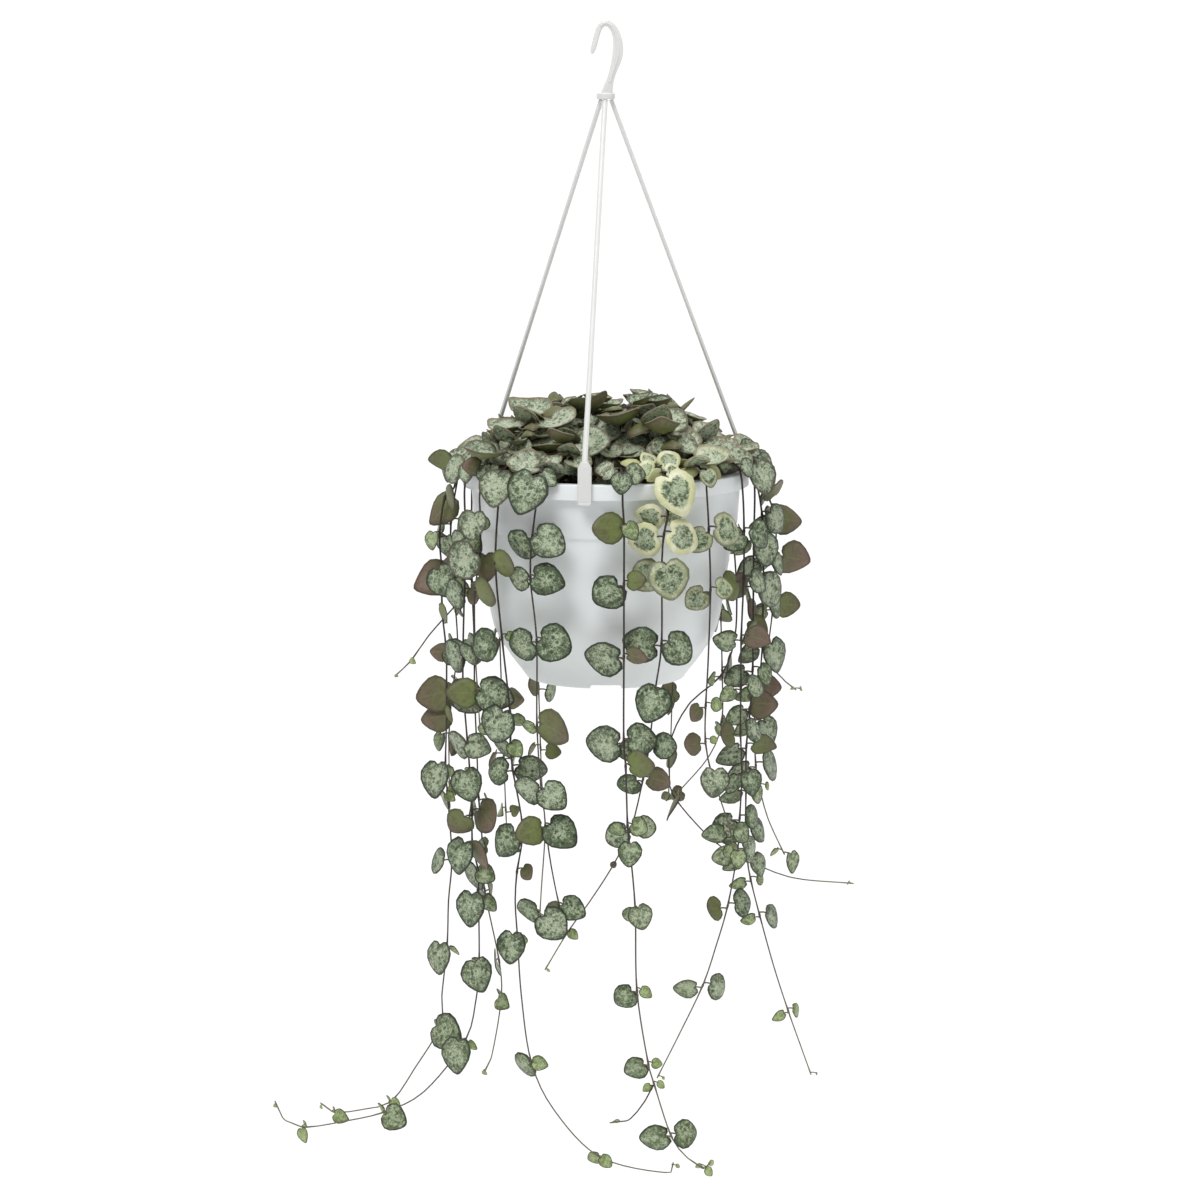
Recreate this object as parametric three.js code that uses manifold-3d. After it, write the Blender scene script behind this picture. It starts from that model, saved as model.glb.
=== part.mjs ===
// A string of hearts (a trailing vine with paired heart-shaped leaves) growing in a white
// moulded hanging pot. Millimetres, +Z up, the front towards -Y. The origin is the point
// of the hook's inside curve that bears on whatever holds the pot up.

import * as THREE from 'three';
import { mergeVertices } from 'three/addons/utils/BufferGeometryUtils.js';
import Module from 'manifold-3d';

const wasm = await Module();
wasm.setup();

// ---------------------------------------------------------------- driving dimensions

const RIM_Z = -228;            // height of the pot's rim under the hook
const RIM_RADIUS = 75;
const POT_HEIGHT = 110;
const WALL = 1.8;
const POT_SIDES = 32;
const FLOOR_DEPTH = 104.6;     // below the rim, the top of the pot's floor
const FLOOR_THICKNESS = 2;
const FOOT_INNER = 37.6;
const DRAIN_HOLES = 5;
const DRAIN_RADIUS = 3.5;
const DRAIN_CIRCLE = 24;

const SOIL_DEPTH = 12;         // below the rim, at the wall
const SOIL_RADIUS = 67.4;      // at its top
const SOIL_CROWN = 1.5;        // how much higher the soil is in the middle
const SEAT_GAP = 0.35;         // left between two pieces that touch
const SOIL_HOLE_RADIUS = 2.1;
const SOIL_HOLE_DEPTH = 14;

const HOOK_DEPTH = 3.4;        // of the hook's bar, along Y
const HOOK_EDGE = 0.6;         // its bevel
const FLANGE_TOP = -34;
const FLANGE_BOTTOM = -37;
const FLANGE_RADIUS = 4.8;

const STRAND_AZIMUTHS = { front: -8, right: 112, left: 232 };
const STRAND_WIDTH = 3;
const STRAND_THICKNESS = 2;
const STRAND_TOP_RADIUS = 3;   // how far from the axis a strand starts
const CLIP_WIDTH = 7;
const CLIP_TOP = RIM_Z + 12;
const CLIP_BOTTOM = RIM_Z - 10;
const CLIP_INNER = RIM_RADIUS + SEAT_GAP;
const CLIP_THICKNESS = 2.2;

const STEM_RADIUS = 1.2;        // of its three corners
const STEM_STEP = 34;          // the longest straight stretch of a stem
const BLADE_THICKNESS = 0.8;
const STALK_RADIUS = 0.38;     // of its three corners
const STALK_OVERLAP = 0.06;    // of a leaf's length, how far the stalk runs into the blade
const STALK_ASIDE = 0.055;     // and how far beside its fold
const SMALLEST_BLADE = 12.8;   // shorter leaves are too small for this model
const FULL_BLADE = 18.4;       // leaves at least this long have the rounder outline
const NODE_STEP = 1.43;        // from a node to the foot of either of its leaves
const SLIVER = 0.02;           // edges shorter than this are closed up after fusing
const POT_GAP = 1.8;           // kept between a leaf's middle plane and the pot or soil
const CLEAR_GAP = 1.5;         // kept between a leaf and anything it could touch

// ---------------------------------------------------------------- materials

function finish(color, roughness) {
  return new THREE.MeshStandardMaterial({ color, roughness, metalness: 0 });
}

const potPlastic = finish(0xeceeec, 0.35);
const hangerPlastic = finish(0xf1f3f1, 0.3);
const pottingSoil = finish(0x2b211a, 0.95);
const vineGreen = finish(0x6d8068, 0.5);
const crownGreen = finish(0x7f9480, 0.5);

// ---------------------------------------------------------------- solids and meshes

function solidOf(geometry) {
  const bare = geometry.index ? geometry.toNonIndexed() : geometry.clone();
  bare.deleteAttribute('normal');
  bare.deleteAttribute('uv');
  const merged = mergeVertices(bare, 1e-5);
  return new wasm.Manifold(new wasm.Mesh({
    numProp: 3,
    vertProperties: new Float32Array(merged.attributes.position.array),
    triVerts: new Uint32Array(merged.index.array),
  }));
}

function geometryOf(solid) {
  const mesh = solid.getMesh();
  const geometry = new THREE.BufferGeometry();
  geometry.setAttribute('position', new THREE.BufferAttribute(mesh.vertProperties.slice(), 3));
  geometry.setIndex(new THREE.BufferAttribute(mesh.triVerts.slice(), 1));
  geometry.computeVertexNormals();
  return geometry;
}

const part = new THREE.Group();

function place(name, geometry, material) {
  const mesh = new THREE.Mesh(geometry, material);
  mesh.name = name;
  part.add(mesh);
  return mesh;
}

function turned(profile, sides) {
  // profile: [radius, z] pairs, all round the section or from the axis to the axis
  return new THREE.LatheGeometry(profile.map(([r, z]) => new THREE.Vector2(r, z)), sides)
    .rotateX(Math.PI / 2);
}

function sweep(section, curve, steps) {
  const shape = new THREE.Shape(section.map(([x, y]) => new THREE.Vector2(x, y)));
  return new THREE.ExtrudeGeometry(shape, { steps, bevelEnabled: false, extrudePath: curve });
}

function boxBetween(low, high) {
  const size = high.map((value, axis) => value - low[axis]);
  const middle = high.map((value, axis) => (value + low[axis]) / 2);
  return new THREE.BoxGeometry(...size).translate(...middle);
}

// ---------------------------------------------------------------- the pot and its soil

// The outside of the wall under the rim band: [radius, depth below the rim]
const WALL_OUTSIDE = [
  [70.4, 10], [69.2, 28], [67.7, 29.5], [63.2, 60], [59.7, 82], [52.2, 97],
  [41.5, POT_HEIGHT],
];
const FLOOR_EDGE = 45.5;

function wallInside() {
  const slope = WALL_OUTSIDE.filter(([, depth]) => depth > 29 && depth < FLOOR_DEPTH)
    .map(([radius, depth]) => [radius - WALL, depth]);
  return [[69.4, 0], ...slope, [FLOOR_EDGE, FLOOR_DEPTH]];
}

function potSolid() {
  const loop = [
    [0, FLOOR_DEPTH + FLOOR_THICKNESS],
    [FOOT_INNER - 0.5, FLOOR_DEPTH + FLOOR_THICKNESS],
    [FOOT_INNER, POT_HEIGHT],
    ...[...WALL_OUTSIDE].reverse(),
    [70.6, 2],
    [RIM_RADIUS - 1.6, 2],
    [RIM_RADIUS - 1.6, 8],
    [RIM_RADIUS, 8],
    [RIM_RADIUS, 0.9],
    [RIM_RADIUS - 0.9, 0],
    ...wallInside(),
    [0, FLOOR_DEPTH],
  ];
  let pot = solidOf(turned(loop.map(([r, depth]) => [r, RIM_Z - depth]), POT_SIDES));
  for (let hole = 0; hole < DRAIN_HOLES; hole += 1) {
    const angle = (hole / DRAIN_HOLES) * 2 * Math.PI;
    const drill = new THREE.CylinderGeometry(DRAIN_RADIUS, DRAIN_RADIUS, 8, 6)
      .rotateX(Math.PI / 2)
      .translate(DRAIN_CIRCLE * Math.sin(angle), DRAIN_CIRCLE * Math.cos(angle), RIM_Z - 105.6);
    pot = pot.subtract(solidOf(drill));
  }
  const footArch = boxBetween([-8, -50, RIM_Z - POT_HEIGHT - 1], [8, -30, RIM_Z - 107.8]);
  return pot.subtract(solidOf(footArch));
}

function soilSolid(roots) {
  const inside = wallInside().filter(([, depth]) => depth > 70 && depth < FLOOR_DEPTH)
    .map(([radius, depth]) => [radius - SEAT_GAP, RIM_Z - depth]);
  const top = RIM_Z - SOIL_DEPTH;
  const bottom = RIM_Z - FLOOR_DEPTH + SEAT_GAP;
  const profile = [
    [0, bottom], [FLOOR_EDGE - 1, bottom], ...inside.reverse(),
    [SOIL_RADIUS, top], [0, top + SOIL_CROWN],
  ];
  let soil = solidOf(turned(profile, POT_SIDES));
  for (const root of roots) {
    const hole = new THREE.CylinderGeometry(SOIL_HOLE_RADIUS, SOIL_HOLE_RADIUS, 20, 4)
      .rotateX(Math.PI / 2)
      .translate(root.x, root.y, RIM_Z - SOIL_DEPTH + 10 - SOIL_HOLE_DEPTH);
    soil = soil.subtract(solidOf(hole));
  }
  return soil;
}

// ---------------------------------------------------------------- the hanger

// The bar rises from the disc, swings out to the right, turns over and ends low on the left.
// It is a flat bar, wide at the right and thin at its open end: [x, z, width]
const HOOK_ROUTE = [
  [0.5, -34.5, 6.2], [1.2, -31, 5], [2.2, -27.5, 3.9], [3.4, -23.6, 3.7], [4.9, -19.2, 4.6],
  [6.1, -14, 5.4], [6.3, -9.2, 5], [5.3, -4.2, 4.2], [3.2, -0.2, 3.6], [0, 1.6, 3.2],
  [-3, -0.4, 3], [-4.5, -4.4, 2.9], [-5.9, -9.4, 2.8], [-7.2, -14, 2.5],
];

function hookSolid() {
  const curve = new THREE.CatmullRomCurve3(HOOK_ROUTE.map((row) => new THREE.Vector3(...row)));
  const steps = 2 * (HOOK_ROUTE.length - 1);
  const left = [];
  const right = [];
  for (let step = 0; step <= steps; step += 1) {
    const { x, y, z: width } = curve.getPoint(step / steps);
    const way = curve.getTangent(step / steps).setZ(0).normalize();
    left.push(new THREE.Vector2(x - way.y * width / 2, y + way.x * width / 2));
    right.push(new THREE.Vector2(x + way.y * width / 2, y - way.x * width / 2));
  }
  const depth = HOOK_DEPTH - 2 * HOOK_EDGE;
  const bar = new THREE.ExtrudeGeometry(new THREE.Shape([...left, ...right.reverse()]), {
    depth, bevelThickness: HOOK_EDGE, bevelSize: HOOK_EDGE, bevelOffset: -HOOK_EDGE,
    bevelSegments: 1,
  }).rotateX(Math.PI / 2).translate(0, depth / 2, 0);
  const flange = new THREE.CylinderGeometry(
    FLANGE_RADIUS, FLANGE_RADIUS, FLANGE_TOP - FLANGE_BOTTOM, 12,
  ).rotateX(Math.PI / 2).translate(0, 0, (FLANGE_TOP + FLANGE_BOTTOM) / 2);
  return solidOf(bar).add(solidOf(flange));
}

function strandSolid() {
  // Built for a strand that runs down the front, then turned to each place
  const topZ = FLANGE_BOTTOM - SEAT_GAP;
  const side = new THREE.Shape([
    new THREE.Vector2(STRAND_TOP_RADIUS - STRAND_THICKNESS / 2, topZ),
    new THREE.Vector2(STRAND_TOP_RADIUS + STRAND_THICKNESS / 2, topZ),
    new THREE.Vector2(CLIP_INNER + CLIP_THICKNESS, CLIP_TOP),
    new THREE.Vector2(CLIP_INNER + CLIP_THICKNESS, CLIP_TOP - 4),
    new THREE.Vector2(CLIP_INNER, CLIP_TOP - 4),
    new THREE.Vector2(CLIP_INNER, CLIP_TOP),
  ]);
  const strand = new THREE.ExtrudeGeometry(side, { depth: STRAND_WIDTH, bevelEnabled: false })
    .translate(0, 0, -STRAND_WIDTH / 2).rotateX(Math.PI / 2).rotateZ(-Math.PI / 2);
  const half = CLIP_WIDTH / 2;
  const shoulder = new THREE.Shape([
    new THREE.Vector2(-half, CLIP_BOTTOM), new THREE.Vector2(half, CLIP_BOTTOM),
    new THREE.Vector2(half, CLIP_TOP - 3), new THREE.Vector2(STRAND_WIDTH / 2 + 0.2, CLIP_TOP),
    new THREE.Vector2(-STRAND_WIDTH / 2 - 0.2, CLIP_TOP), new THREE.Vector2(-half, CLIP_TOP - 3),
  ]);
  const plate = new THREE.ExtrudeGeometry(shoulder, { depth: CLIP_THICKNESS, bevelEnabled: false })
    .rotateX(Math.PI / 2).translate(0, -CLIP_INNER, 0);
  const skirt = RIM_Z - 8 - SEAT_GAP;
  const foot = boxBetween([-2.6, -CLIP_INNER - 1, CLIP_BOTTOM], [2.6, -RIM_RADIUS + 3.6, skirt]);
  const lip = boxBetween(
    [-2.6, -RIM_RADIUS + 2.1, CLIP_BOTTOM], [2.6, -RIM_RADIUS + 3.6, RIM_Z - 4],
  );
  return solidOf(strand).add(solidOf(plate)).add(solidOf(foot)).add(solidOf(lip));
}

// ---------------------------------------------------------------- the shoots, by hand

// Each vine starts in the soil at its azimuth (degrees from the front, + to the right),
// climbs over the rim and hangs through its nodes. A node is
// [x, y, z, first leaf, second leaf, turn]: the leaves' lengths, negative where a leaf
// shows its underside, and the turn of the pair about the stem (0 = side by side,
// 90 = the first leaf in front). A length of 0 is a bare bend.
const VINES = {
  vine_front_left: { azimuth: -26, rim: [17, 0, 200], over: [20, 0, 110], nodes: [
    [-37, -74, -254, 17, 17, 5], [-38, -74, -275, 16, 13, 15],
    [-35, -73, -307, 18, 17, 0], [-35, -71, -351, -19, 9, 25], [-33, -70, -385, 15, 15, 30],
    [-31, -69, -404, 18, -15, 330], [-33, -69, -436, 0, 0, 0], [-34, -68, -452, 16, 14, 20],
  ], branches: [[
    [-31, -69, -404, 0, 0, 0], [-28, -66, -426, 0, 0, 0], [-24, -64, -447, 13, -12, 10],
    [-20, -62, -462, 6, 0, 0],
  ]] },
  vine_left_long: { azimuth: -43, rim: [16, 15, 150], over: [17, 0, 80], nodes: [
    [-56, -60, -270, -15, 0, 10], [-53, -58, -308, 7, 17, 10],
    [-49, -56, -348, 18, 10, 100], [-49, -56, -364, 9, 12, 30], [-48, -55, -377, 15, 14, 0],
    [-43, -54, -409, 10, 17, 340], [-46, -53, -432, -9, 0, 0], [-47, -52, -448, 0, 0, 0],
    [-46, -52, -466, 16, 8, 90], [-44, -50, -500, 0, 0, 0], [-39, -48, -536, 8, 15, 10],
    [-27, -46, -563, 0, 0, 0], [-3, -42, -590, 8, 9, 20], [32, -38, -600, 0, 0, 0],
    [36, -36, -595, 3, 0, 0],
  ] },
  vine_left_short: { azimuth: -54, rim: [15, 14, 0], nodes: [
    [-64, -51, -246, 15, 9, 100], [-64, -52, -266, 18, -14, 95], [-67, -51, -286, -15, 0, 10],
    [-67, -49, -317, -14, 12, 340], [-66, -48, -338, 18, -16, 0], [-65, -48, -356, 9, 0, 0],
  ] },
  vine_left_far: { azimuth: -66, rim: [15, 14, 30], over: [15, -14, 40], nodes: [
    [-72, -35, -261, 12, 16, 20], [-73, -35, -288, -12, 16, 0],
    [-74, -34, -320, -13, 17, 10], [-74, -33, -340, 16, 14, 60], [-72, -32, -369, 13, 15, 0],
    [-71, -31, -384, 17, 9, 60], [-70, -30, -406, -18, -14, 0], [-70, -30, -423, 18, -15, 100],
    [-67, -28, -438, 10, 17, 0], [-67, -28, -451, 18, 10, 80], [-67, -26, -488, 17, 13, 60],
    [-69, -25, -510, 0, 0, 0], [-75, -24, -532, 19, 6, 100], [-97, -20, -561, 0, 0, 0],
    [-118, -18, -573, 14, 8, 20], [-140, -16, -579, 0, 0, 0], [-162, -14, -583, 8, 5, 60],
    [-173, -13, -579, 0, 0, 0], [-178, -12, -569, 2, 0, 0],
  ] },
  vine_left_outer: { azimuth: -84, rim: [15, 14, 30], over: [-16, 14, 40], nodes: [
    [-84, -9, -242, -14, -17, 0], [-87, -8, -262, 10, 14, 80], [-86, -8, -281, 17, -18, 50],
    [-86, -8, -302, -11, 10, 20], [-84, -8, -324, 13, -10, 0], [-84, -8, -345, 0, -18, 0],
    [-84, -8, -358, -10, -16, 10], [-85, -6, -386, 18, 8, 80], [-84, -6, -402, 6, 13, 0],
    [-82, -6, -436, 5, 13, 350], [-84, -5, -460, 0, 0, 0], [-85, -4, -485, 17, 7, 80],
    [-88, -3, -512, 0, 0, 0], [-89, -2, -530, 18, 13, 60], [-103, -1, -554, 0, 0, 0],
    [-116, 0, -573, 7, 6, 0], [-131, 1, -578, 0, 0, 0], [-147, 2, -580, 9, 4, 20],
    [-155, 3, -575, 2, 0, 0],
  ] },
  vine_left_back: { azimuth: -99, rim: [15, 14, 30], over: [14, 14, 40], nodes: [
    [-82, 13, -258, -14, 13, 0], [-82, 13, -282, 13, -12, 60],
    [-80, 12, -303, -12, 10, 0], [-79, 12, -327, -16, 13, 30], [-82, 13, -350, 14, -13, 0],
    [-84, 14, -374, 10, -11, 90], [-84, 14, -404, 6, 6, 0],
  ], branches: [[
    [-80, 12, -303, 0, 0, 0], [-94, 14, -319, 0, 0, 0], [-104, 14, -333, 4, 3, 0],
    [-113, 16, -342, 2, 0, 0],
  ]] },
  vine_left_inner: { azimuth: -116, nodes: [
    [-72, 35, -264, 12, 13, 30], [-72, 35, -294, -14, 12, 120],
    [-71, 35, -326, 13, -12, 20], [-71, 34, -354, -13, 12, 90], [-70, 33, -382, 12, 10, 0],
    [-69, 32, -412, -13, 12, 45], [-67, 30, -438, 12, -11, 0], [-66, 28, -462, -14, 12, 10],
    [-58, 22, -501, -14, 0, 0], [-57, 20, -522, 10, 12, 0], [-62, 16, -552, 0, 0, 0],
    [-66, 14, -561, 3, 0, 0],
  ] },
  vine_left_rear: { azimuth: -133, nodes: [
    [-59, 56, -260, 13, -12, 20], [-59, 57, -292, -14, 12, 70],
    [-58, 57, -326, 13, 12, 0], [-57, 56, -360, -12, 11, 40], [-56, 55, -394, 11, -10, 90],
    [-55, 54, -424, 8, 8, 0], [-54, 53, -448, 5, 5, 30],
  ] },
  vine_rear_left: { azimuth: -152, nodes: [
    [-38, 71, -256, 14, -13, 0], [-39, 72, -290, -13, 12, 50],
    [-38, 72, -324, 12, 12, 0], [-37, 71, -358, 11, -11, 30], [-36, 69, -392, 9, 9, 0],
    [-35, 67, -418, 5, 5, 0],
  ] },
  vine_rear_short: { azimuth: -171, nodes: [
    [-12, 79, -262, 13, 13, 10], [-13, 80, -296, -13, 12, 60],
    [-13, 79, -328, 10, 9, 0], [-13, 78, -350, 5, 5, 0],
  ] },
  vine_rear_middle: { azimuth: 170, nodes: [
    [14, 79, -252, 14, -13, 20], [13, 81, -284, -13, 13, 0],
    [13, 80, -316, 12, 11, 60], [14, 79, -346, 6, 6, 0],
  ] },
  vine_rear_right: { azimuth: 150, nodes: [
    [40, 70, -262, 13, 13, 0], [39, 71, -296, -14, 12, 40],
    [38, 70, -330, 12, -12, 0], [37, 69, -362, 12, 11, 60], [36, 67, -394, 9, 10, 0],
    [35, 65, -420, 6, 5, 0],
  ] },
  vine_right_rear: { azimuth: 132, nodes: [
    [60, 54, -254, 13, -13, 10], [62, 55, -284, -14, 12, 50],
    [63, 55, -314, 13, 13, 0], [64, 56, -346, -14, 13, 20], [64, 57, -375, 6, -9, 0],
    [57, 59, -395, 0, 0, 0], [39, 61, -417, 9, 6, 0],
  ] },
  vine_right_back: { azimuth: 121, nodes: [
    [69, 42, -268, 12, -13, 30], [71, 42, -300, 13, -13, 60],
    [70, 41, -326, 0, 0, 0], [63, 42, -346, -17, 8, 0], [46, 44, -362, 0, 0, 0],
    [36, 46, -382, 0, 0, 0], [35, 46, -402, 0, 0, 0], [38, 45, -415, 6, 14, 350],
    [58, 40, -437, 0, 0, 0], [74, 36, -446, 10, 9, 40], [101, 30, -456, 0, 0, 0],
    [135, 24, -458, 3, 0, 0],
  ] },
  vine_right_outer: { azimuth: 97, rim: [15, 14, 30], over: [16, 14, 40], nodes: [
    [85, 10, -242, 15, -13, 0], [90, 12, -258, -16, 12, 0], [90, 12, -278, -17, 10, 10],
    [89, 12, -304, -14, 10, 0], [87, 12, -331, 0, 0, 0], [95, 13, -343, 0, 0, 0],
    [102, 14, -349, 3, 2, 0],
  ] },
  vine_right_side: { azimuth: 88, rim: [15, 14, 30], over: [15, -14, 40], nodes: [
    [82, -3, -252, 15, 12, 80], [83, -2, -276, 13, 14, 30],
    [83, -2, -300, 13, -13, 0], [83, -1, -322, 17, 12, 80], [81, 0, -345, -13, 10, 0],
    [79, 0, -364, 17, 9, 60], [80, 0, -387, 15, 15, 0], [82, 1, -399, 5, 4, 30],
    [87, 2, -417, 0, 0, 0], [96, 4, -437, 11, 6, 90],
  ] },
  vine_right_middle: { azimuth: 76, rim: [15, 14, 0], over: [17, 15, 150], nodes: [
    [77, -19, -263, 17, 10, 80], [77, -19, -287, 17, -12, 60],
    [77, -19, -308, -11, -13, 0], [77, -18, -332, 12, 13, 45], [76, -18, -352, -15, 12, 0],
    [74, -18, -373, -13, 14, 10], [74, -18, -396, 10, 12, 60], [74, -16, -418, 13, 13, 0],
    [75, -15, -434, 12, 12, 60], [77, -14, -446, 8, 8, 20], [82, -12, -466, 13, 8, 0],
    [90, -10, -495, 0, 0, 0], [98, -8, -520, 8, 7, 0], [105, -6, -540, 0, 0, 0],
    [111, -4, -557, 2, 0, 0],
  ] },
  vine_right_near: { azimuth: 62, rim: [15, 14, 0], nodes: [
    [71, -38, -256, 15, 13, 30], [71, -38, -281, 13, -14, 10],
    [70, -37, -312, -13, 12, 0], [70, -37, -338, 12, 10, 30], [70, -36, -362, 14, -13, 0],
    [71, -35, -384, 14, 12, 90], [70, -34, -408, 12, 13, 0], [69, -34, -426, 13, 11, 0],
    [64, -35, -455, 14, -13, 0], [58, -37, -476, 0, 0, 0], [51, -39, -497, 13, 12, 0],
    [39, -42, -522, 0, 0, 0], [27, -44, -546, 2, 0, 0],
  ] },
  vine_right_front: { azimuth: 40, rim: [16, -14, 20], nodes: [
    [52, -62, -252, 18, 13, 0], [53, -62, -283, 12, 12, 0],
    [52, -61, -322, 0, 0, 0], [51, -60, -343, 8, -9, 0], [51, -59, -362, 5, -11, 0],
    [54, -58, -378, 15, 6, 90], [59, -57, -393, 0, 0, 0], [64, -56, -409, 12, 12, 20],
    [66, -55, -421, 10, 9, 70],
  ] },
  vine_front_right: { azimuth: 22, rim: [14, 14, 20], over: [22, 0, 75], nodes: [
    [31, -79, -242, 17, 13, 20], [29, -80, -252, 17, 17, 0],
    [28, -78, -268, 19, 18, 60], [28, -77, -308, 16, 17, 0], [25, -75, -332, 19, 9, 90],
    [22, -71, -362, 14, 15, 20], [19, -67, -380, -12, 13, 0], [13, -61, -407, 12, 12, 0],
    [4, -54, -428, 0, 0, 0], [-8, -47, -449, 0, 0, 0], [-20, -40, -468, 4, 3, 0],
    [-32, -34, -490, 2, 0, 0],
  ], tuber: [4, -54, -428] },
  vine_front: { azimuth: 6, nodes: [
    [9, -80, -248, 9, -16, 60], [9, -81, -277, -10, 17, 20],
    [9, -80, -314, -10, 18, 30], [9, -79, -358, 16, 18, 0], [10, -78, -371, -13, 0, 20],
    [11, -77, -402, 10, 9, 0], [12, -76, -412, 12, 8, 90], [15, -74, -446, 12, 10, 70],
    [16, -72, -490, 7, 13, 20], [22, -70, -530, 6, 13, 20], [25, -69, -541, 5, 5, 0],
    [34, -66, -570, 15, 15, 0], [42, -64, -582, 0, 0, 0], [51, -62, -589, 5, 4, 60],
    [55, -61, -586, 4, 0, 0],
  ], branches: [[
    [25, -69, -541, 0, 0, 0], [20, -68, -551, 0, 0, 0], [12, -67, -561, 0, 0, 0],
    [2, -66, -563, 3, 0, 0],
  ]] },
};

// The crown: shorter shoots that arch out of the middle of the soil and hide it
const CROWN_SHOOTS = 12;
const CROWN_NODES = 4;
const CROWN_HEIGHT = 32;       // of the arch above the rim
const CROWN_LEAF = 20.5;
const CROWN_SWIRL = 12;        // degrees that a shoot turns by on its way out

const RADIANS = Math.PI / 180;

function randomFrom(seed) {
  let state = seed >>> 0;
  return () => {
    state = (Math.imul(state, 1664525) + 1013904223) >>> 0;
    return state / 4294967296;
  };
}

function around(azimuth, radius, z) {
  return [radius * Math.sin(azimuth * RADIANS), -radius * Math.cos(azimuth * RADIANS), z];
}

// The first stretch of a vine: out of the soil, over the rim and down outside it. It may
// bear a pair of leaves on top of the rim, and one just outside it.
function vineStart({ azimuth, rim = [0, 0, 0], over = [0, 0, 0] }, rootRadius) {
  return [
    [...around(azimuth, rootRadius, RIM_Z - SOIL_DEPTH - 11), 0, 0, 0],
    [...around(azimuth, rootRadius, RIM_Z - SOIL_DEPTH + 1), 0, 0, 0],
    [...around(azimuth, rootRadius + 7, RIM_Z + 4), 0, 0, 0],
    [...around(azimuth, RIM_RADIUS - 4, RIM_Z + 8), ...rim],
    [...around(azimuth, RIM_RADIUS + 2.6, RIM_Z + 3.4), ...over],
    [...around(azimuth, RIM_RADIUS + 4.6, RIM_Z - 9), 0, 0, 0],
  ];
}

// How far out a crown shoot reaches: short at the front, long over the two sides
function crownReach(azimuth) {
  const side = Math.sin(azimuth * RADIANS) ** 2;
  const back = Math.max(0, -Math.cos(azimuth * RADIANS)) ** 2;
  return 58 + 16 * side + 6 * back;
}

function crownShoot(index) {
  const azimuth = -151.5 + (index * 360) / CROWN_SHOOTS;
  const layer = index % 3;     // 0 arches high, 2 stays low over the soil
  const rootRadius = 12 + 9 * layer;
  const reach = crownReach(azimuth) - 3 * layer;
  const height = CROWN_HEIGHT * (1 - 0.3 * layer);
  const nodes = [
    [...around(azimuth, rootRadius, RIM_Z - SOIL_DEPTH - 11), 0, 0, 0],
    [...around(azimuth, rootRadius, RIM_Z - SOIL_DEPTH + 1), 0, 0, 0],
  ];
  for (let step = 1; step <= CROWN_NODES; step += 1) {
    const way = (step - 0.6) / (CROWN_NODES - 0.6);
    const radius = rootRadius + (reach - rootRadius) * way;
    const lift = height * (1 - (radius / (reach + 10)) ** 3) + layer;
    const length = CROWN_LEAF - 2 * (step % 2) + (index % 2);
    nodes.push([
      ...around(azimuth + CROWN_SWIRL * way, radius, RIM_Z + lift),
      length, length - 1, 40 * step + 30 * index,
    ]);
  }
  return nodes;
}

// ---------------------------------------------------------------- smooth stems

function pointOf(node) {
  return new THREE.Vector3(node[0], node[1], node[2]);
}

function stemCurve(nodes) {
  return new THREE.CatmullRomCurve3(nodes.map(pointOf), false, 'catmullrom', 0.5);
}

// A path whose steps fall on the given points, so that each leaf meets its stem's middle
class PointPath extends THREE.Curve {
  constructor(points) {
    super();
    this.points = points;
  }

  getPoint(t, target = new THREE.Vector3()) {
    const place = Math.min(1, Math.max(0, t)) * (this.points.length - 1);
    const index = Math.min(this.points.length - 2, Math.floor(place));
    return target.lerpVectors(this.points[index], this.points[index + 1], place - index);
  }

  getPointAt(u, target) {
    return this.getPoint(u, target);
  }

  getTangentAt(u, target = new THREE.Vector3()) {
    const half = 0.5 / (this.points.length - 1);
    return target.subVectors(this.getPoint(u + half), this.getPoint(u - half)).normalize();
  }
}

// The stem's path: through every node, with more points along a long stretch
function stemPoints(nodes) {
  const curve = stemCurve(nodes);
  const points = [pointOf(nodes[0])];
  for (let i = 1; i < nodes.length; i += 1) {
    const parts = Math.ceil(pointOf(nodes[i]).distanceTo(pointOf(nodes[i - 1])) / STEM_STEP);
    for (let k = 1; k <= parts; k += 1) {
      points.push(curve.getPoint((i - 1 + k / parts) / (nodes.length - 1)));
    }
  }
  return points;
}

// Where a leaf joins the stem: the first leaf of a pair just above the node, the second
// just below it, so that their stalks part inside the stem
function leafFoot(nodes, index, side) {
  const points = stemPoints(nodes);
  const node = pointOf(nodes[index]);
  const at = points.findIndex((point) => point.distanceTo(node) < 0.001);
  const last = at === points.length - 1;
  const towards = side > 0 || last ? points[at - 1] : points[at + 1];
  const step = last && side < 0 ? 2 * NODE_STEP : NODE_STEP;
  return node.clone().addScaledVector(towards.clone().sub(node).normalize(), step);
}

function triangle(radius) {
  return [0, 1, 2].map((k) => {
    const angle = (k * 2 * Math.PI) / 3;
    return [radius * Math.cos(angle), radius * Math.sin(angle)];
  });
}

function stemSolid(nodes) {
  const points = stemPoints(nodes);
  return solidOf(sweep(triangle(STEM_RADIUS), new PointPath(points), points.length - 1));
}

// ---------------------------------------------------------------- leaves

// Half of a leaf's outline from its notch to its tip: [across, along, rise], as shares
// of the leaf's length
const HALF_OUTLINE = [[0.26, -0.12, 0.02], [0.55, 0.18, 0.07], [0.4, 0.62, 0.05]];
const HALF_OUTLINE_SMALL = [[0.3, -0.12, 0.02], [0.55, 0.3, 0.07]];
const LEAF_TIP = [0, 0.94, -0.02];

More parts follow.
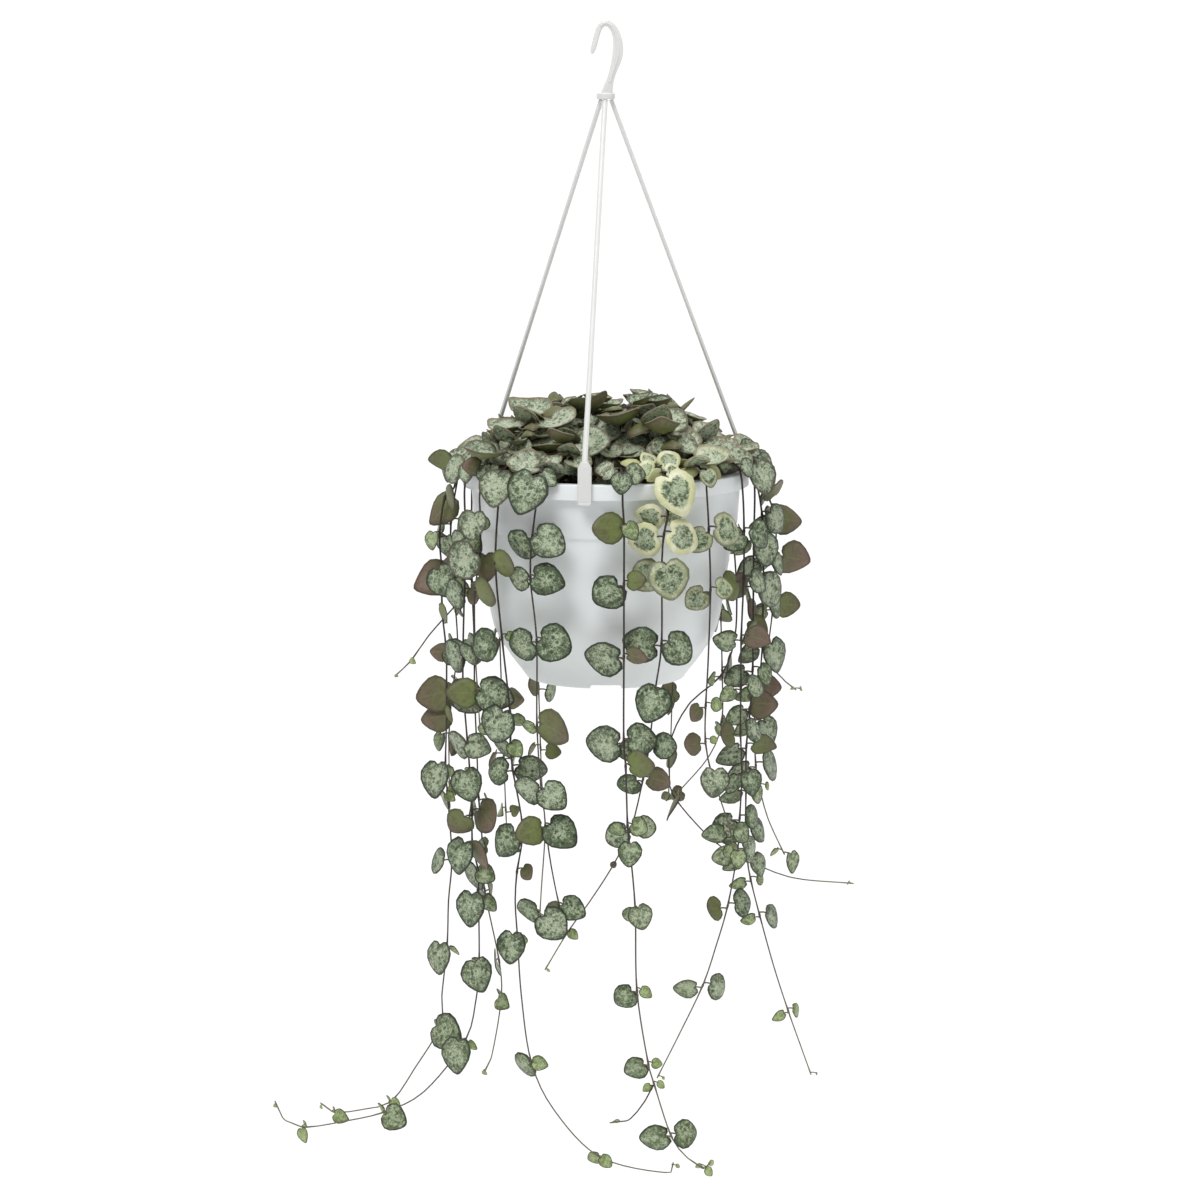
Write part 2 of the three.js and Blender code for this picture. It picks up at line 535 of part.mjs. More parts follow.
// A blade of even thickness, with its corners going round from the tip
function bladeSolid({ notch, along, normal, length }) {
  const across = new THREE.Vector3().crossVectors(along, normal);
  const half = length >= FULL_BLADE ? HALF_OUTLINE : HALF_OUTLINE_SMALL;
  const outline = [
    LEAF_TIP, ...[...half].reverse().map(([a, b, c]) => [-a, b, c]), [0, 0, 0], ...half,
  ];
  const layer = (rise) => outline.map(([a, b, c]) => notch.clone()
    .addScaledVector(across, a * length).addScaledVector(along, b * length)
    .addScaledVector(normal, c * length + rise));
  const points = [...layer(BLADE_THICKNESS / 2), ...layer(-BLADE_THICKNESS / 2)];
  const count = outline.length;
  const faces = [];
  for (let i = 0; i < count; i += 1) {
    const next = (i + 1) % count;
    faces.push(i, count + i, count + next, i, count + next, next);
    if (i > 0 && next > 0) faces.push(0, i, next, count, count + next, count + i);
  }
  const geometry = new THREE.BufferGeometry();
  geometry.setAttribute('position', new THREE.Float32BufferAttribute(
    points.flatMap((p) => [p.x, p.y, p.z]), 3));
  geometry.setIndex(faces);
  return solidOf(geometry);
}

// A stalk with three corners, from the stem's middle to a place inside the blade, a little
// beside its fold
function stalkSolid({ foot, notch, along, normal, length }) {
  const across = new THREE.Vector3().crossVectors(along, normal);
  const end = notch.clone().addScaledVector(along, STALK_OVERLAP * length)
    .addScaledVector(across, STALK_ASIDE * length);
  return solidOf(sweep(triangle(STALK_RADIUS), new THREE.LineCurve3(foot, end), 1));
}

// The side a leaf looks to: outwards, but drawn round to the light in front
function facing(azimuth) {
  const size = Math.abs(azimuth);
  const turnedBy = size <= 100 ? size * 0.5 : 50 + (size - 100) * 1.6;
  return Math.sign(azimuth) * turnedBy;
}

const UP = new THREE.Vector3(0, 0, 1);

// How far a value is on its way from low to high, from 0 to 1
function share(value, low, high) {
  return Math.min(1, Math.max(0, (value - low) / (high - low)));
}

function mix(...terms) {
  const sum = new THREE.Vector3();
  for (const [weight, vector] of terms) sum.addScaledVector(vector, weight);
  return sum.normalize();
}

// Where a leaf is and how it lies: it hangs from its stalk with its face to the light, and
// spreads flatter where it is raised above the rim. A hanging leaf's stalk passes the stem
// on its front or its back.
function leafAt(at, pairTurn, length, side, draws, twist, front) {
  const azimuth = Math.atan2(at.x, -at.y) / RADIANS;
  const look = facing(azimuth) * RADIANS;
  const out = new THREE.Vector3(Math.sin(look), -Math.cos(look), 0);
  const right = new THREE.Vector3(Math.cos(look), Math.sin(look), 0);
  const turn = (pairTurn + twist + (side < 0 ? 180 : 0) + 24 * (draws[0] - 0.5)) * RADIANS;
  const reach = mix([Math.cos(turn), right], [Math.sin(turn), out]);
  const outside = share(Math.hypot(at.x, at.y), 70, 76);
  const raised = Math.max(0, share(at.z, RIM_Z - 10, RIM_Z + 4) - 0.9 * outside);
  const hangAngle = (42 + 52 * draws[1]) * RADIANS;
  const under = length < 0 ? -1 : 1;
  const nod = 0.3 * (draws[2] + 0.3) * front;
  const hangingNormal = mix([0.8 * under, out], [0.3, reach], [nod, UP]);
  const crownNormal = mix(
    [1.5 * draws[2] - 0.3, out], [0.8 * draws[1] - 0.4, reach], [0.85 * under, UP],
  );
  const normal = mix([1 - raised, hangingNormal], [raised, crownNormal]);
  const hanging = mix([Math.sin(hangAngle), reach], [-Math.cos(hangAngle), UP]);
  const spread = mix([1, reach], [0.3, out], [-0.2, UP]);
  const wanted = mix([1 - raised, hanging], [raised, spread]);
  const along = mix([1, wanted], [-wanted.dot(normal), normal]);
  const size = Math.abs(length) * (0.95 + 0.12 * draws[3]);
  const crownStalk = mix([1, reach], [0.9, along]);
  const notch = at.clone()
    .addScaledVector(reach, (1 - raised) * (1.4 + 0.1 * size))
    .addScaledVector(out, (1 - raised) * 2.5 * front)
    .addScaledVector(crownStalk, raised * (2.4 + 0.12 * size));
  return {
    foot: at, notch, along, normal, length: size,
    centre: notch.clone().addScaledVector(along, 0.42 * size), radius: 0.53 * size,
  };
}

// ---------------------------------------------------------------- keeping leaves clear

function leavesMeet(a, b) {
  const between = b.centre.clone().sub(a.centre);
  if (between.length() > a.radius + b.radius + CLEAR_GAP) return false;
  const line = new THREE.Vector3().crossVectors(a.normal, b.normal);
  const slope = line.length();
  const heightB = Math.abs(between.dot(a.normal));
  const heightA = Math.abs(between.dot(b.normal));
  if (heightB > b.radius * slope + CLEAR_GAP) return false;
  if (heightA > a.radius * slope + CLEAR_GAP) return false;
  if (slope < 0.3) return true;
  const halfChord = (radius, height) => (
    Math.sqrt(Math.max(0, (radius + CLEAR_GAP) ** 2 - (height / slope) ** 2)));
  const apart = Math.abs(between.dot(line)) / slope;
  return apart < halfChord(a.radius, heightA) + halfChord(b.radius, heightB);
}

function barMeets(leaf, [start, end, gap]) {
  const from = start.clone().sub(leaf.centre);
  const to = end.clone().sub(leaf.centre);
  const low = from.dot(leaf.normal);
  const high = to.dot(leaf.normal);
  if (low * high > 0 && Math.min(Math.abs(low), Math.abs(high)) > gap) return false;
  const share = low === high ? 0.5 : Math.min(1, Math.max(0, low / (low - high)));
  return from.lerp(to, share).length() < leaf.radius + gap;
}

function wallRadius(z) {
  const depth = RIM_Z - z;
  const row = WALL_OUTSIDE.find(([, level]) => level >= depth) ?? [0, POT_HEIGHT];
  return depth < 10 ? RIM_RADIUS : row[0] + 2;
}

function potMeets(leaf) {
  const across = new THREE.Vector3().crossVectors(leaf.normal, leaf.along);
  const soilTop = RIM_Z - SOIL_DEPTH + SOIL_CROWN;
  for (let k = 0; k < 37; k += 1) {
    const angle = (k * Math.PI) / 6;
    const reach = leaf.radius * Math.ceil(k / 12) / 3;
    const p = leaf.centre.clone()
      .addScaledVector(across, reach * Math.sin(angle))
      .addScaledVector(leaf.along, reach * Math.cos(angle));
    const level = p.z < RIM_Z + POT_GAP && p.z > RIM_Z - POT_HEIGHT - POT_GAP;
    const radius = Math.hypot(p.x, p.y);
    const overSoil = radius < SOIL_RADIUS - POT_GAP && p.z > soilTop + POT_GAP;
    if (level && radius < wallRadius(p.z) + POT_GAP && !overSoil) return true;
  }
  return false;
}

const placedLeaves = [];
const placedBars = [];         // [start, end, gap] of every stem, stalk and strand

function addBars(points, gap) {
  for (let i = 1; i < points.length; i += 1) placedBars.push([points[i - 1], points[i], gap]);
}

const TWISTS = [0, 22, -22, 44, -44, 66, -66, 88, -88, 115, -115, 140];
const SHRINKS = [1, 0.85, 0.7];

// A leaf turns about its stem, and grows smaller, until it is clear of its neighbours.
// One that never gets clear is left out.
function growLeaf(foot, pairTurn, length, side, draws) {
  for (const shrink of SHRINKS) {
    for (const twist of TWISTS) {
      for (const front of [side, -side]) {
        const leaf = leafAt(foot, pairTurn, length * shrink, side, draws, twist, front);
        const stalk = [leaf.foot, leaf.notch, CLEAR_GAP];
        const blocked = potMeets(leaf)
          || placedLeaves.some((other) => leavesMeet(leaf, other) || barMeets(other, stalk))
          || placedBars.some((bar) => barMeets(leaf, bar));
        if (!blocked) {
          placedLeaves.push(leaf);
          placedBars.push(stalk);
          return leaf;
        }
      }
    }
  }
  return null;
}

// ---------------------------------------------------------------- growing the plant

const shoots = [];

function addShoot(name, runs, seed, material, tuber) {
  for (const nodes of runs) {
    addBars(stemCurve(nodes).getPoints((nodes.length - 1) * 3), CLEAR_GAP + 0.3);
  }
  shoots.push({ name, runs, random: randomFrom(seed), material, tuber });
}

let seed = 11;
for (const [name, vine] of Object.entries(VINES)) {
  const rootRadius = 44 + 6 * (seed % 3);
  const main = [...vineStart(vine, rootRadius), ...vine.nodes];
  addShoot(name, [main, ...(vine.branches ?? [])], seed, vineGreen, vine.tuber);
  seed += 1;
}
for (let index = 0; index < CROWN_SHOOTS; index += 1) {
  addShoot(`crown_shoot_${index + 1}`, [crownShoot(index)], 101 + index, crownGreen, null);
}
for (const azimuth of Object.values(STRAND_AZIMUTHS)) {
  const ends = [
    around(azimuth, STRAND_TOP_RADIUS, FLANGE_BOTTOM), around(azimuth, 76, CLIP_TOP),
    around(azimuth, 77, CLIP_BOTTOM),
  ];
  const path = [];
  for (let step = 0; step <= 20; step += 1) {
    path.push(pointOf(ends[0]).lerp(pointOf(ends[1]), step / 20));
  }
  addBars([...path, pointOf(ends[2])], CLEAR_GAP + 2.4);
}

for (const shoot of shoots) {
  const solids = shoot.runs.map(stemSolid);
  for (const nodes of shoot.runs) {
    for (let index = 0; index < nodes.length; index += 1) {
      for (const [column, side] of [[3, 1], [4, -1]]) {
        const draws = [shoot.random(), shoot.random(), shoot.random(), shoot.random()];
        const length = nodes[index][column];
        if (length === 0) continue;
        const foot = leafFoot(nodes, index, side);
        const leaf = growLeaf(foot, nodes[index][5], length, side, draws);
        if (leaf && leaf.length >= SMALLEST_BLADE) solids.push(bladeSolid(leaf), stalkSolid(leaf));
      }
    }
  }
  if (shoot.tuber) {
    solids.push(solidOf(new THREE.SphereGeometry(2, 8, 5).rotateX(Math.PI / 2)
      .translate(...shoot.tuber)));
  }
  const fused = wasm.Manifold.union(solids).simplify(SLIVER);
  place(shoot.name, geometryOf(fused), shoot.material);
}

// ---------------------------------------------------------------- pot, soil and hanger

place('pot', geometryOf(potSolid()), potPlastic);
place('soil', geometryOf(soilSolid(shoots.map((shoot) => pointOf(shoot.runs[0][0])))), pottingSoil);
place('hanger_hook', geometryOf(hookSolid()), hangerPlastic);
for (const [side, azimuth] of Object.entries(STRAND_AZIMUTHS)) {
  const strand = place(`hanger_strand_${side}`, geometryOf(strandSolid()), hangerPlastic);
  strand.rotation.z = azimuth * RADIANS;
}

export default part;
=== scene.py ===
# %% [markdown]
# # A string of hearts in its hanging pot
# The real object is a trailing houseplant. Thin vines carry pairs of heart-shaped, marbled leaves
# and fall over the rim of a white moulded pot, which hangs from a hook by three straight strands.
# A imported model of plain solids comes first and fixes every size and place. This lesson dresses it:
# each cell makes one piece or one finish. Metres are used for meshes, and millimetres for the
# tables, because a plant of this size is easier to read in millimetres.

# %% Load the frame
import math

import bmesh
import bpy
import numpy as np
from mathutils import Matrix, Vector, noise


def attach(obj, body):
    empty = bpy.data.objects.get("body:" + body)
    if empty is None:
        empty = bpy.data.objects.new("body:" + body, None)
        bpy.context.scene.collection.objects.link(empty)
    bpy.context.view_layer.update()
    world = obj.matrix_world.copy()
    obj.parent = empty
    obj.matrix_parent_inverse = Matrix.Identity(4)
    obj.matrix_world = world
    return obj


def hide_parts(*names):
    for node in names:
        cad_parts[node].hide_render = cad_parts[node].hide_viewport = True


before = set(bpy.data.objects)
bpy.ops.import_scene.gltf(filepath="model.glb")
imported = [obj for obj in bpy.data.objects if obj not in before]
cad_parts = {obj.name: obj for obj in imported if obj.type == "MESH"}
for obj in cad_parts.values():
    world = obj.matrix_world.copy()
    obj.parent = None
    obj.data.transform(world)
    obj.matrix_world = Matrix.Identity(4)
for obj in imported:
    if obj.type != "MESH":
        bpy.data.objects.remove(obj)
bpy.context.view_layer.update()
MM = 0.001
print("solids in the frame:", len(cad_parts))

# %% [markdown]
# ## Camera
# A long lens from 1.6 m keeps the pot's sides nearly parallel, as a product view does. The camera
# stands a little above the pot and looks slightly down, so that the rim shows as a thin ellipse
# and the leaves on top are seen from the side. Tracking a direction to a quaternion aims it.

# %% Camera
CAMERA_PLACE = Vector((-0.003, -1.6, -0.043))
LOOKS_AT = Vector((-0.003, 0.0, -0.298))
LENS = 92.04

camera = bpy.data.objects.new("camera", bpy.data.cameras.new("camera"))
camera.data.lens = LENS
camera.data.sensor_width = 36.0
camera.location = CAMERA_PLACE
aim = LOOKS_AT - CAMERA_PLACE
camera.rotation_euler = aim.to_track_quat("-Z", "Y").to_euler()
bpy.context.collection.objects.link(camera)
bpy.context.scene.camera = camera
print("camera is", round(aim.length, 3), "m from the pot")

# %% [markdown]
# ## Floor, backdrop and light
# The plant hangs in a bright, plain studio. One sheet that curves from floor to wall has no
# horizon line, so nothing distracts behind the thin stems. It is made by extruding a drawn line
# sideways. Large, weak lamps and an even sky give soft shade with hardly any cast shadow, and the
# sheet glows a little itself, so that it stays evenly pale.

# %% Floor and backdrop
FLOOR_Z = -0.86
SHEET_FRONT, SHEET_TOP, SHEET_WIDTH = -3.0, 3.2, 8.0
CURVE_START, CURVE_RADIUS, CURVE_STEPS = 0.9, 1.2, 8


def paint(code):
    """Linear colour of a #rrggbb code, as sockets want it."""
    parts = [int(code[i:i + 2], 16) / 255 for i in (1, 3, 5)]
    line = [c / 12.92 if c <= 0.04045 else ((c + 0.055) / 1.055) ** 2.4 for c in parts]
    return (*line, 1.0)


def mesh_from(bm, name):
    mesh = bpy.data.meshes.new(name)
    bm.to_mesh(mesh)
    bm.free()
    return mesh


def verts_in(items):
    """The vertices among what a bmesh operator returns."""
    return [item for item in items if isinstance(item, bmesh.types.BMVert)]


def studio_sheet():
    bm = bmesh.new()
    line = [(SHEET_FRONT, FLOOR_Z), (CURVE_START, FLOOR_Z)]
    for step in range(1, CURVE_STEPS + 1):
        turn = math.radians(90 * step / CURVE_STEPS)
        line.append((CURVE_START + CURVE_RADIUS * math.sin(turn),
                     FLOOR_Z + CURVE_RADIUS * (1 - math.cos(turn))))
    line.append((CURVE_START + CURVE_RADIUS, SHEET_TOP))
    verts = [bm.verts.new((-SHEET_WIDTH / 2, y, z)) for y, z in line]
    edges = [bm.edges.new(pair) for pair in zip(verts, verts[1:])]
    wide = bmesh.ops.extrude_edge_only(bm, edges=edges)["geom"]
    bmesh.ops.translate(bm, vec=(SHEET_WIDTH, 0.0, 0.0), verts=verts_in(wide))
    bmesh.ops.recalc_face_normals(bm, faces=bm.faces)
    mesh = mesh_from(bm, "studio_sheet")
    for face in mesh.polygons:
        face.use_smooth = True
    sheet = bpy.data.objects.new("studio_sheet", mesh)
    bpy.context.collection.objects.link(sheet)
    return sheet


sheet = studio_sheet()
backdrop = bpy.data.materials.new("pale_backdrop")
backdrop.use_nodes = True
paper = backdrop.node_tree.nodes["Principled BSDF"]
paper.inputs["Base Color"].default_value = (0.3, 0.3, 0.3, 1)
paper.inputs["Roughness"].default_value = 1.0
paper.inputs["Specular IOR Level"].default_value = 0.0
paper.inputs["Emission Color"].default_value = (1.0, 1.0, 1.0, 1)
paper.inputs["Emission Strength"].default_value = 0.8
sheet.data.materials.append(backdrop)
print("backdrop faces:", len(sheet.data.polygons))

# %% Light
world = bpy.data.worlds.new("soft_sky")
bpy.context.scene.world = world
world.use_nodes = True
world.node_tree.nodes["Background"].inputs["Color"].default_value = (1.0, 1.0, 1.0, 1)
world.node_tree.nodes["Background"].inputs["Strength"].default_value = 0.395
bpy.context.scene.view_settings.view_transform = "Standard"
LAMPS_AIM = Vector((0, 0, -0.3))


def soft_lamp(name, place, size, watts):
    lamp = bpy.data.lights.new(name, "AREA")
    lamp.size, lamp.energy = size, watts
    holder = bpy.data.objects.new(name, lamp)
    holder.location = place
    aim = LAMPS_AIM - Vector(place)
    holder.rotation_euler = aim.to_track_quat("-Z", "Y").to_euler()
    bpy.context.collection.objects.link(holder)


soft_lamp("front_lamp", (-0.7, -1.6, 1.8), 1.1, 34)
soft_lamp("side_lamp", (1.9, -1.2, 0.2), 1.2, 4)
soft_lamp("top_lamp", (0.1, -0.1, 1.3), 0.9, 9)

# %% [markdown]
# ## A short way to write shader maths
# A finish is a small graph of nodes. Wired by hand, even a sum such as `1 - mask * 0.4` takes two
# nodes, two links and two typed values. `Wire` wraps one socket, so that Python's own signs add
# those nodes. `Finish` starts a material, and its `node` method makes any other node from its
# type, its settings and what goes into its sockets.

# %% Shader helpers
class Wire:
    """One output socket that works in Python sums."""

    def __init__(self, finish, socket):
        self.finish, self.socket = finish, socket

    def maths(self, operation, *inputs):
        values = {i: value for i, value in enumerate(inputs)}
        return self.finish.node("ShaderNodeMath", {"operation": operation}, values)

    def __add__(self, other):
        return self.maths("ADD", self, other)

    def __sub__(self, other):
        return self.maths("SUBTRACT", self, other)

    def __rsub__(self, other):
        return self.maths("SUBTRACT", other, self)

    def __mul__(self, other):
        return self.maths("MULTIPLY", self, other)

    def __abs__(self):
        return self.maths("ABSOLUTE", self)

    __radd__, __rmul__ = __add__, __mul__

    def rise(self, low, high):
        """0 below low, 1 above high, and a soft step between them."""
        ends = {"Value": self, "From Min": low, "From Max": high}
        return self.finish.node("ShaderNodeMapRange", {"interpolation_type": "SMOOTHSTEP"}, ends)


class Finish:
    """A material under construction."""

    def __init__(self, name, **own):
        self.material = bpy.data.materials.new(name)
        self.material.use_nodes = True
        self.tree = self.material.node_tree
        self.shader = self.tree.nodes["Principled BSDF"]
        for socket, value in own.items():
            self.shader.inputs[socket.replace("_", " ")].default_value = value

    def node(self, kind, settings=None, inputs=None, output=0):
        node = self.tree.nodes.new(kind)
        for key, value in (settings or {}).items():
            if key == "stops":
                while len(node.color_ramp.elements) < len(value):
                    node.color_ramp.elements.new(0.5)
                for element, (position, colour) in zip(node.color_ramp.elements, value):
                    element.position, element.color = position, paint(colour)
            else:
                setattr(node, key, value)
        for key, value in (inputs or {}).items():
            if isinstance(value, Wire):
                self.tree.links.new(value.socket, node.inputs[key])
            else:
                node.inputs[key].default_value = value
        return Wire(self, node.outputs[output])

    def attribute(self, name):
        return self.node("ShaderNodeAttribute", {"attribute_name": name}, output="Fac")

    def place(self):
        return self.node("ShaderNodeTexCoord", output="Object")

    def cloud(self, scale, detail=2.0, distortion=0.0):
        inputs = {"Vector": self.place(), "Scale": scale, "Detail": detail,
                  "Distortion": distortion}
        return self.node("ShaderNodeTexNoise", None, inputs, "Fac")

    def cells(self, scale):
        """How far each point is from the middle of its cell."""
        inputs = {"Vector": self.place(), "Scale": scale}
        return self.node("ShaderNodeTexVoronoi", None, inputs, "Distance")

    def ramp(self, value, *stops):
        return self.node("ShaderNodeValToRGB", {"stops": stops}, {"Fac": value}, "Color")

    def blend(self, factor, first, second):
        """First colour where the factor is 0, second where it is 1."""
        colours = {6: first, 7: second, 0: factor}
        return self.node("ShaderNodeMix", {"data_type": "RGBA"}, colours, 2)

    def wear(self, socket, wire):
        self.tree.links.new(wire.socket, self.shader.inputs[socket])

    def relief(self, height, distance, strength=1.0):
        bump = {"Height": height, "Distance": distance, "Strength": strength}
        self.wear("Normal", self.node("ShaderNodeBump", None, bump, "Normal"))


print("shader helpers are ready")

# %% [markdown]
# ## Moulded plastic
# Pot and hanger are white polypropylene: a cool, slightly grey white with a soft shine. The hanger
# is given a greyer white than the pot, as painted shade, so that its thin hook and strands read
# darker against the bright backdrop. Moulding leaves faint flow marks and very fine waves, and
# handling dulls it in patches. A single flat white would look like paper, so a broad cloud shifts
# the colour a little, a finer one the roughness, and a shallow relief breaks up the highlights.

# %% Plastic finishes
def moulded_plastic(name, light, shade, dull):
    finish = Finish(name, IOR=1.49)
    broad = finish.cloud(28, 3)
    fine = finish.cloud(240, 3)
    flow = finish.cloud(60, 2, 1.2)
    finish.wear("Base Color", finish.ramp(broad * 0.7 + flow * 0.3, (0.3, shade), (0.7, light)))
    finish.wear("Roughness", dull + (fine - 0.5) * 0.16 + (broad - 0.5) * 0.12)
    finish.relief(flow * 0.7 + fine * 0.3, 0.00012, 0.6)
    return finish.material


pot_plastic = moulded_plastic("pot_plastic", "#f2f6f7", "#ebf0f1", 0.36)
# The hanger's greyer white is painted shade: the thin hook and strands read darker than the pot.
hanger_plastic_with_painted_shade = moulded_plastic("hanger_plastic_with_painted_shade", "#e3e4e2", "#dadbd8", 0.32)
print("plastics:", pot_plastic.name, hanger_plastic_with_painted_shade.name)

# %% [markdown]
# ## Shaping helpers
# Two ways of shaping cover most of the object. `turned` spins a drawn section about the upright
# axis, as a potter does, after its corners are rounded while they are still points. `tube` pushes
# a ring of edges along a path, turning and scaling it on the way, which suits stems, stalks and
# the hook. `soften` rounds what either of them would leave sharp. `as_piece` turns the result into
# an object at the origin and hands it to the frame.

# %% Shaping helpers
def as_piece(bm, name, finishes, stands_for):
    mesh = bpy.data.meshes.new(name)
    bm.to_mesh(mesh)
    bm.free()
    for face in mesh.polygons:
        face.use_smooth = True
    for finish in finishes:
        mesh.materials.append(finish)
    piece = bpy.data.objects.new(name, mesh)
    bpy.context.collection.objects.link(piece)
    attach(piece, "root")
    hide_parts(*stands_for)
    return piece


def soften(bm, items, by, segments=3, affect="EDGES"):
    """Rounds edges, or the corners of a drawn line, by some millimetres."""
    bmesh.ops.bevel(bm, geom=items, offset=by * MM, segments=segments, profile=0.5,
                    affect=affect, material=-1)


def turned(bm, section, steps, top=0.0):
    """Spins a section of (radius, depth under top, corner) in mm; corner is its rounding."""
    verts = [bm.verts.new((r * MM, 0.0, (top - depth) * MM)) for r, depth, _ in section]
    for pair in zip(verts, verts[1:]):
        bm.edges.new(pair)
    for vert, (_, _, corner) in zip(verts, section):
        if corner:
            soften(bm, [vert], corner, affect="VERTICES")
    line = [v for v in bm.verts if not v.link_faces]
    bmesh.ops.spin(bm, geom=line + [e for e in bm.edges if not e.link_faces], cent=(0, 0, 0),
                   axis=(0, 0, 1), dvec=(0, 0, 0), angle=2 * math.pi, steps=steps,
                   use_merge=True, use_duplicate=False)
    bmesh.ops.remove_doubles(bm, verts=bm.verts, dist=1e-6)
    bmesh.ops.recalc_face_normals(bm, faces=bm.faces)


def tube(bm, points, radii, sides, slot_number=0, square=0.0, flat=1.0):
    """Extrudes a ring along points (mm). square 0 is round, and 1 nearly a square section.

    flat is the section's depth as a share of its width, one number or one for each point.
    """
    flats = flat if isinstance(flat, list) else [flat] * len(points)
    points = [Vector(p) * MM for p in points]
    last = len(points) - 1
    ways = [(points[min(i + 1, last)] - points[max(i - 1, 0)]).normalized()
            for i in range(last + 1)]
    side = ways[0].orthogonal().normalized() if flat == 1.0 else Vector((0, 1, 0))
    ring = bmesh.ops.create_circle(bm, cap_ends=False, radius=1.0, segments=sides)["verts"]
    for vert in ring:
        widest = max(abs(vert.co.x), abs(vert.co.y))
        vert.co *= 1 + square * (1 / widest - 1)
    edges = list({edge for vert in ring for edge in vert.link_edges})
    first = edges
    new = []
    placed = Matrix.Identity(4)
    for i, (point, way) in enumerate(zip(points, ways)):
        side = (side - way * side.dot(way)).normalized()
        across = way.cross(side)
        size = radii[i] * MM
        here = Matrix((side * size * flats[i], across * size, way * size)).transposed().to_4x4()
        here.translation = point
        if i:
            grown = bmesh.ops.extrude_edge_only(bm, edges=edges)["geom"]
            ring = verts_in(grown)
            edges = [item for item in grown if isinstance(item, bmesh.types.BMEdge)
                     and item.verts[0] in ring and item.verts[1] in ring]
            new += [item for item in grown if isinstance(item, bmesh.types.BMFace)]
        bmesh.ops.transform(bm, matrix=here @ placed.inverted(), verts=ring)
        placed = here
    new += bmesh.ops.edgeloop_fill(bm, edges=first)["faces"]
    new += bmesh.ops.edgeloop_fill(bm, edges=edges)["faces"]
    bmesh.ops.recalc_face_normals(bm, faces=new)
    for face in new:
        face.material_index = slot_number
    return new


print("shaping helpers are ready")

# %% [markdown]
# ## The pot
# A thin moulded shell: a plain rim band stands out over a groove, a faint ledge runs round below
# it, and the wall tapers and rounds into a foot ring. It could be a cylinder with bevels, but its
# section changes all the way down, so one drawn section is spun. Each corner is rounded in the
# drawing, which costs nothing and catches the light as moulded edges do. The drain holes and the
# gap in the foot ring are cut afterwards with helper shapes.

# %% The pot
RIM_Z = -228.0
RIM_RADIUS = 75.0
POT_HEIGHT = 110.0
WALL = 1.8
DRAIN_HOLES, DRAIN_CIRCLE, DRAIN_RADIUS = 5, 24, 3.5
FOOT_GAP = (16, 20, 5.2)
WALL_OUTSIDE = [(70.4, 10), (69.2, 28), (67.7, 29.5), (63.2, 60), (59.7, 82), (52.2, 97),
                (41.5, 110)]


def wall_at(depth, inset):
    """Radius of the wall at a depth under the rim, on a smooth line through the section."""
    rows = WALL_OUTSIDE[2:]
    return float(np.interp(depth, [d for _, d in rows], [r for r, _ in rows])) - inset


def rounded_wall(inset, depths):
    """The wall with its corners softened, as the mean of five places around each depth."""
    rows = []
    for depth in depths:
        near = [wall_at(depth + d, inset) for d in (-5, -2.5, 0, 2.5, 5)]
        rows.append((sum(near) / 5, depth, 0))
    return rows


def cut_with(piece, cutters):
    """Cuts helper shapes out of a piece, and removes them."""
    for cutter in cutters:
        step = piece.modifiers.new("cut", "BOOLEAN")
        step.operation, step.solver, step.object = "DIFFERENCE", "EXACT", cutter
    depsgraph = bpy.context.evaluated_depsgraph_get()
    cut = bpy.data.meshes.new_from_object(piece.evaluated_get(depsgraph))
    piece.modifiers.clear()
    piece.data = cut
    for cutter in cutters:
        bpy.data.objects.remove(cutter)


def helper(bm, name):
    shape = bpy.data.objects.new(name, mesh_from(bm, name))
    bpy.context.collection.objects.link(shape)
    return shape


def pot_shell():
    foot = [(0, 106.6, 0), (36.8, 106.6, 0.6), (37.6, 109.8, 0.5), (41.5, 110, 0.6)]
    outside = rounded_wall(0, [*range(34, 90, 6), 92.6])
    outside += rounded_wall(0.5, (93.2, 97, 101, 105))
    ledge = [(67.7, 29.4, 0.5), (69.2, 28, 0.6), (70.4, 10, 0), (70.6, 2, 0.3)]
    band = [(73.4, 2, 0.3), (73.4, 8, 0.25), (75, 8, 0.35), (75, 0.2, 0.5), (74.2, 0, 0.35),
            (69.4, 0, 0.7), (68.7, 27, 0), (66, 31, 0.5)]
    inside = rounded_wall(WALL, range(100, 32, -6))
    floor = [(45.5, 104.6, 1.5), (0, 104.6, 0)]
    section = foot + outside[::-1] + ledge + band + inside[::-1] + floor
    bm = bmesh.new()
    turned(bm, section, 112, RIM_Z)
    pot = as_piece(bm, "pot_shell", [pot_plastic], ["pot"])
    cutters = []
    for hole in range(DRAIN_HOLES):
        turn = hole / DRAIN_HOLES * 2 * math.pi
        spot = Vector((DRAIN_CIRCLE * math.sin(turn), DRAIN_CIRCLE * math.cos(turn),
                       RIM_Z - 105.6)) * MM
        bm = bmesh.new()
        bmesh.ops.create_cone(bm, cap_ends=True, cap_tris=False, segments=20, depth=8 * MM,
                              radius1=DRAIN_RADIUS * MM, radius2=DRAIN_RADIUS * MM,
                              matrix=Matrix.Translation(spot))
        cutters.append(helper(bm, "drain_drill"))
    bm = bmesh.new()
    size = Matrix.Diagonal((*(Vector(FOOT_GAP) * MM), 1))
    spot = Vector((0, -40, RIM_Z - POT_HEIGHT - 0.4)) * MM
    bmesh.ops.create_cube(bm, size=1, matrix=Matrix.Translation(spot) @ size)
    long_edges = [e for e in bm.edges if abs(e.verts[0].co.y - e.verts[1].co.y) > 0.01]
    soften(bm, long_edges, 1.2)
    cutters.append(helper(bm, "foot_gap"))
    cut_with(pot, cutters)
    for face in pot.data.polygons:
        face.use_smooth = True
    pot.data.set_sharp_from_angle(angle=math.radians(32))
    return pot


pot = pot_shell()
print("pot faces:", len(pot.data.polygons))

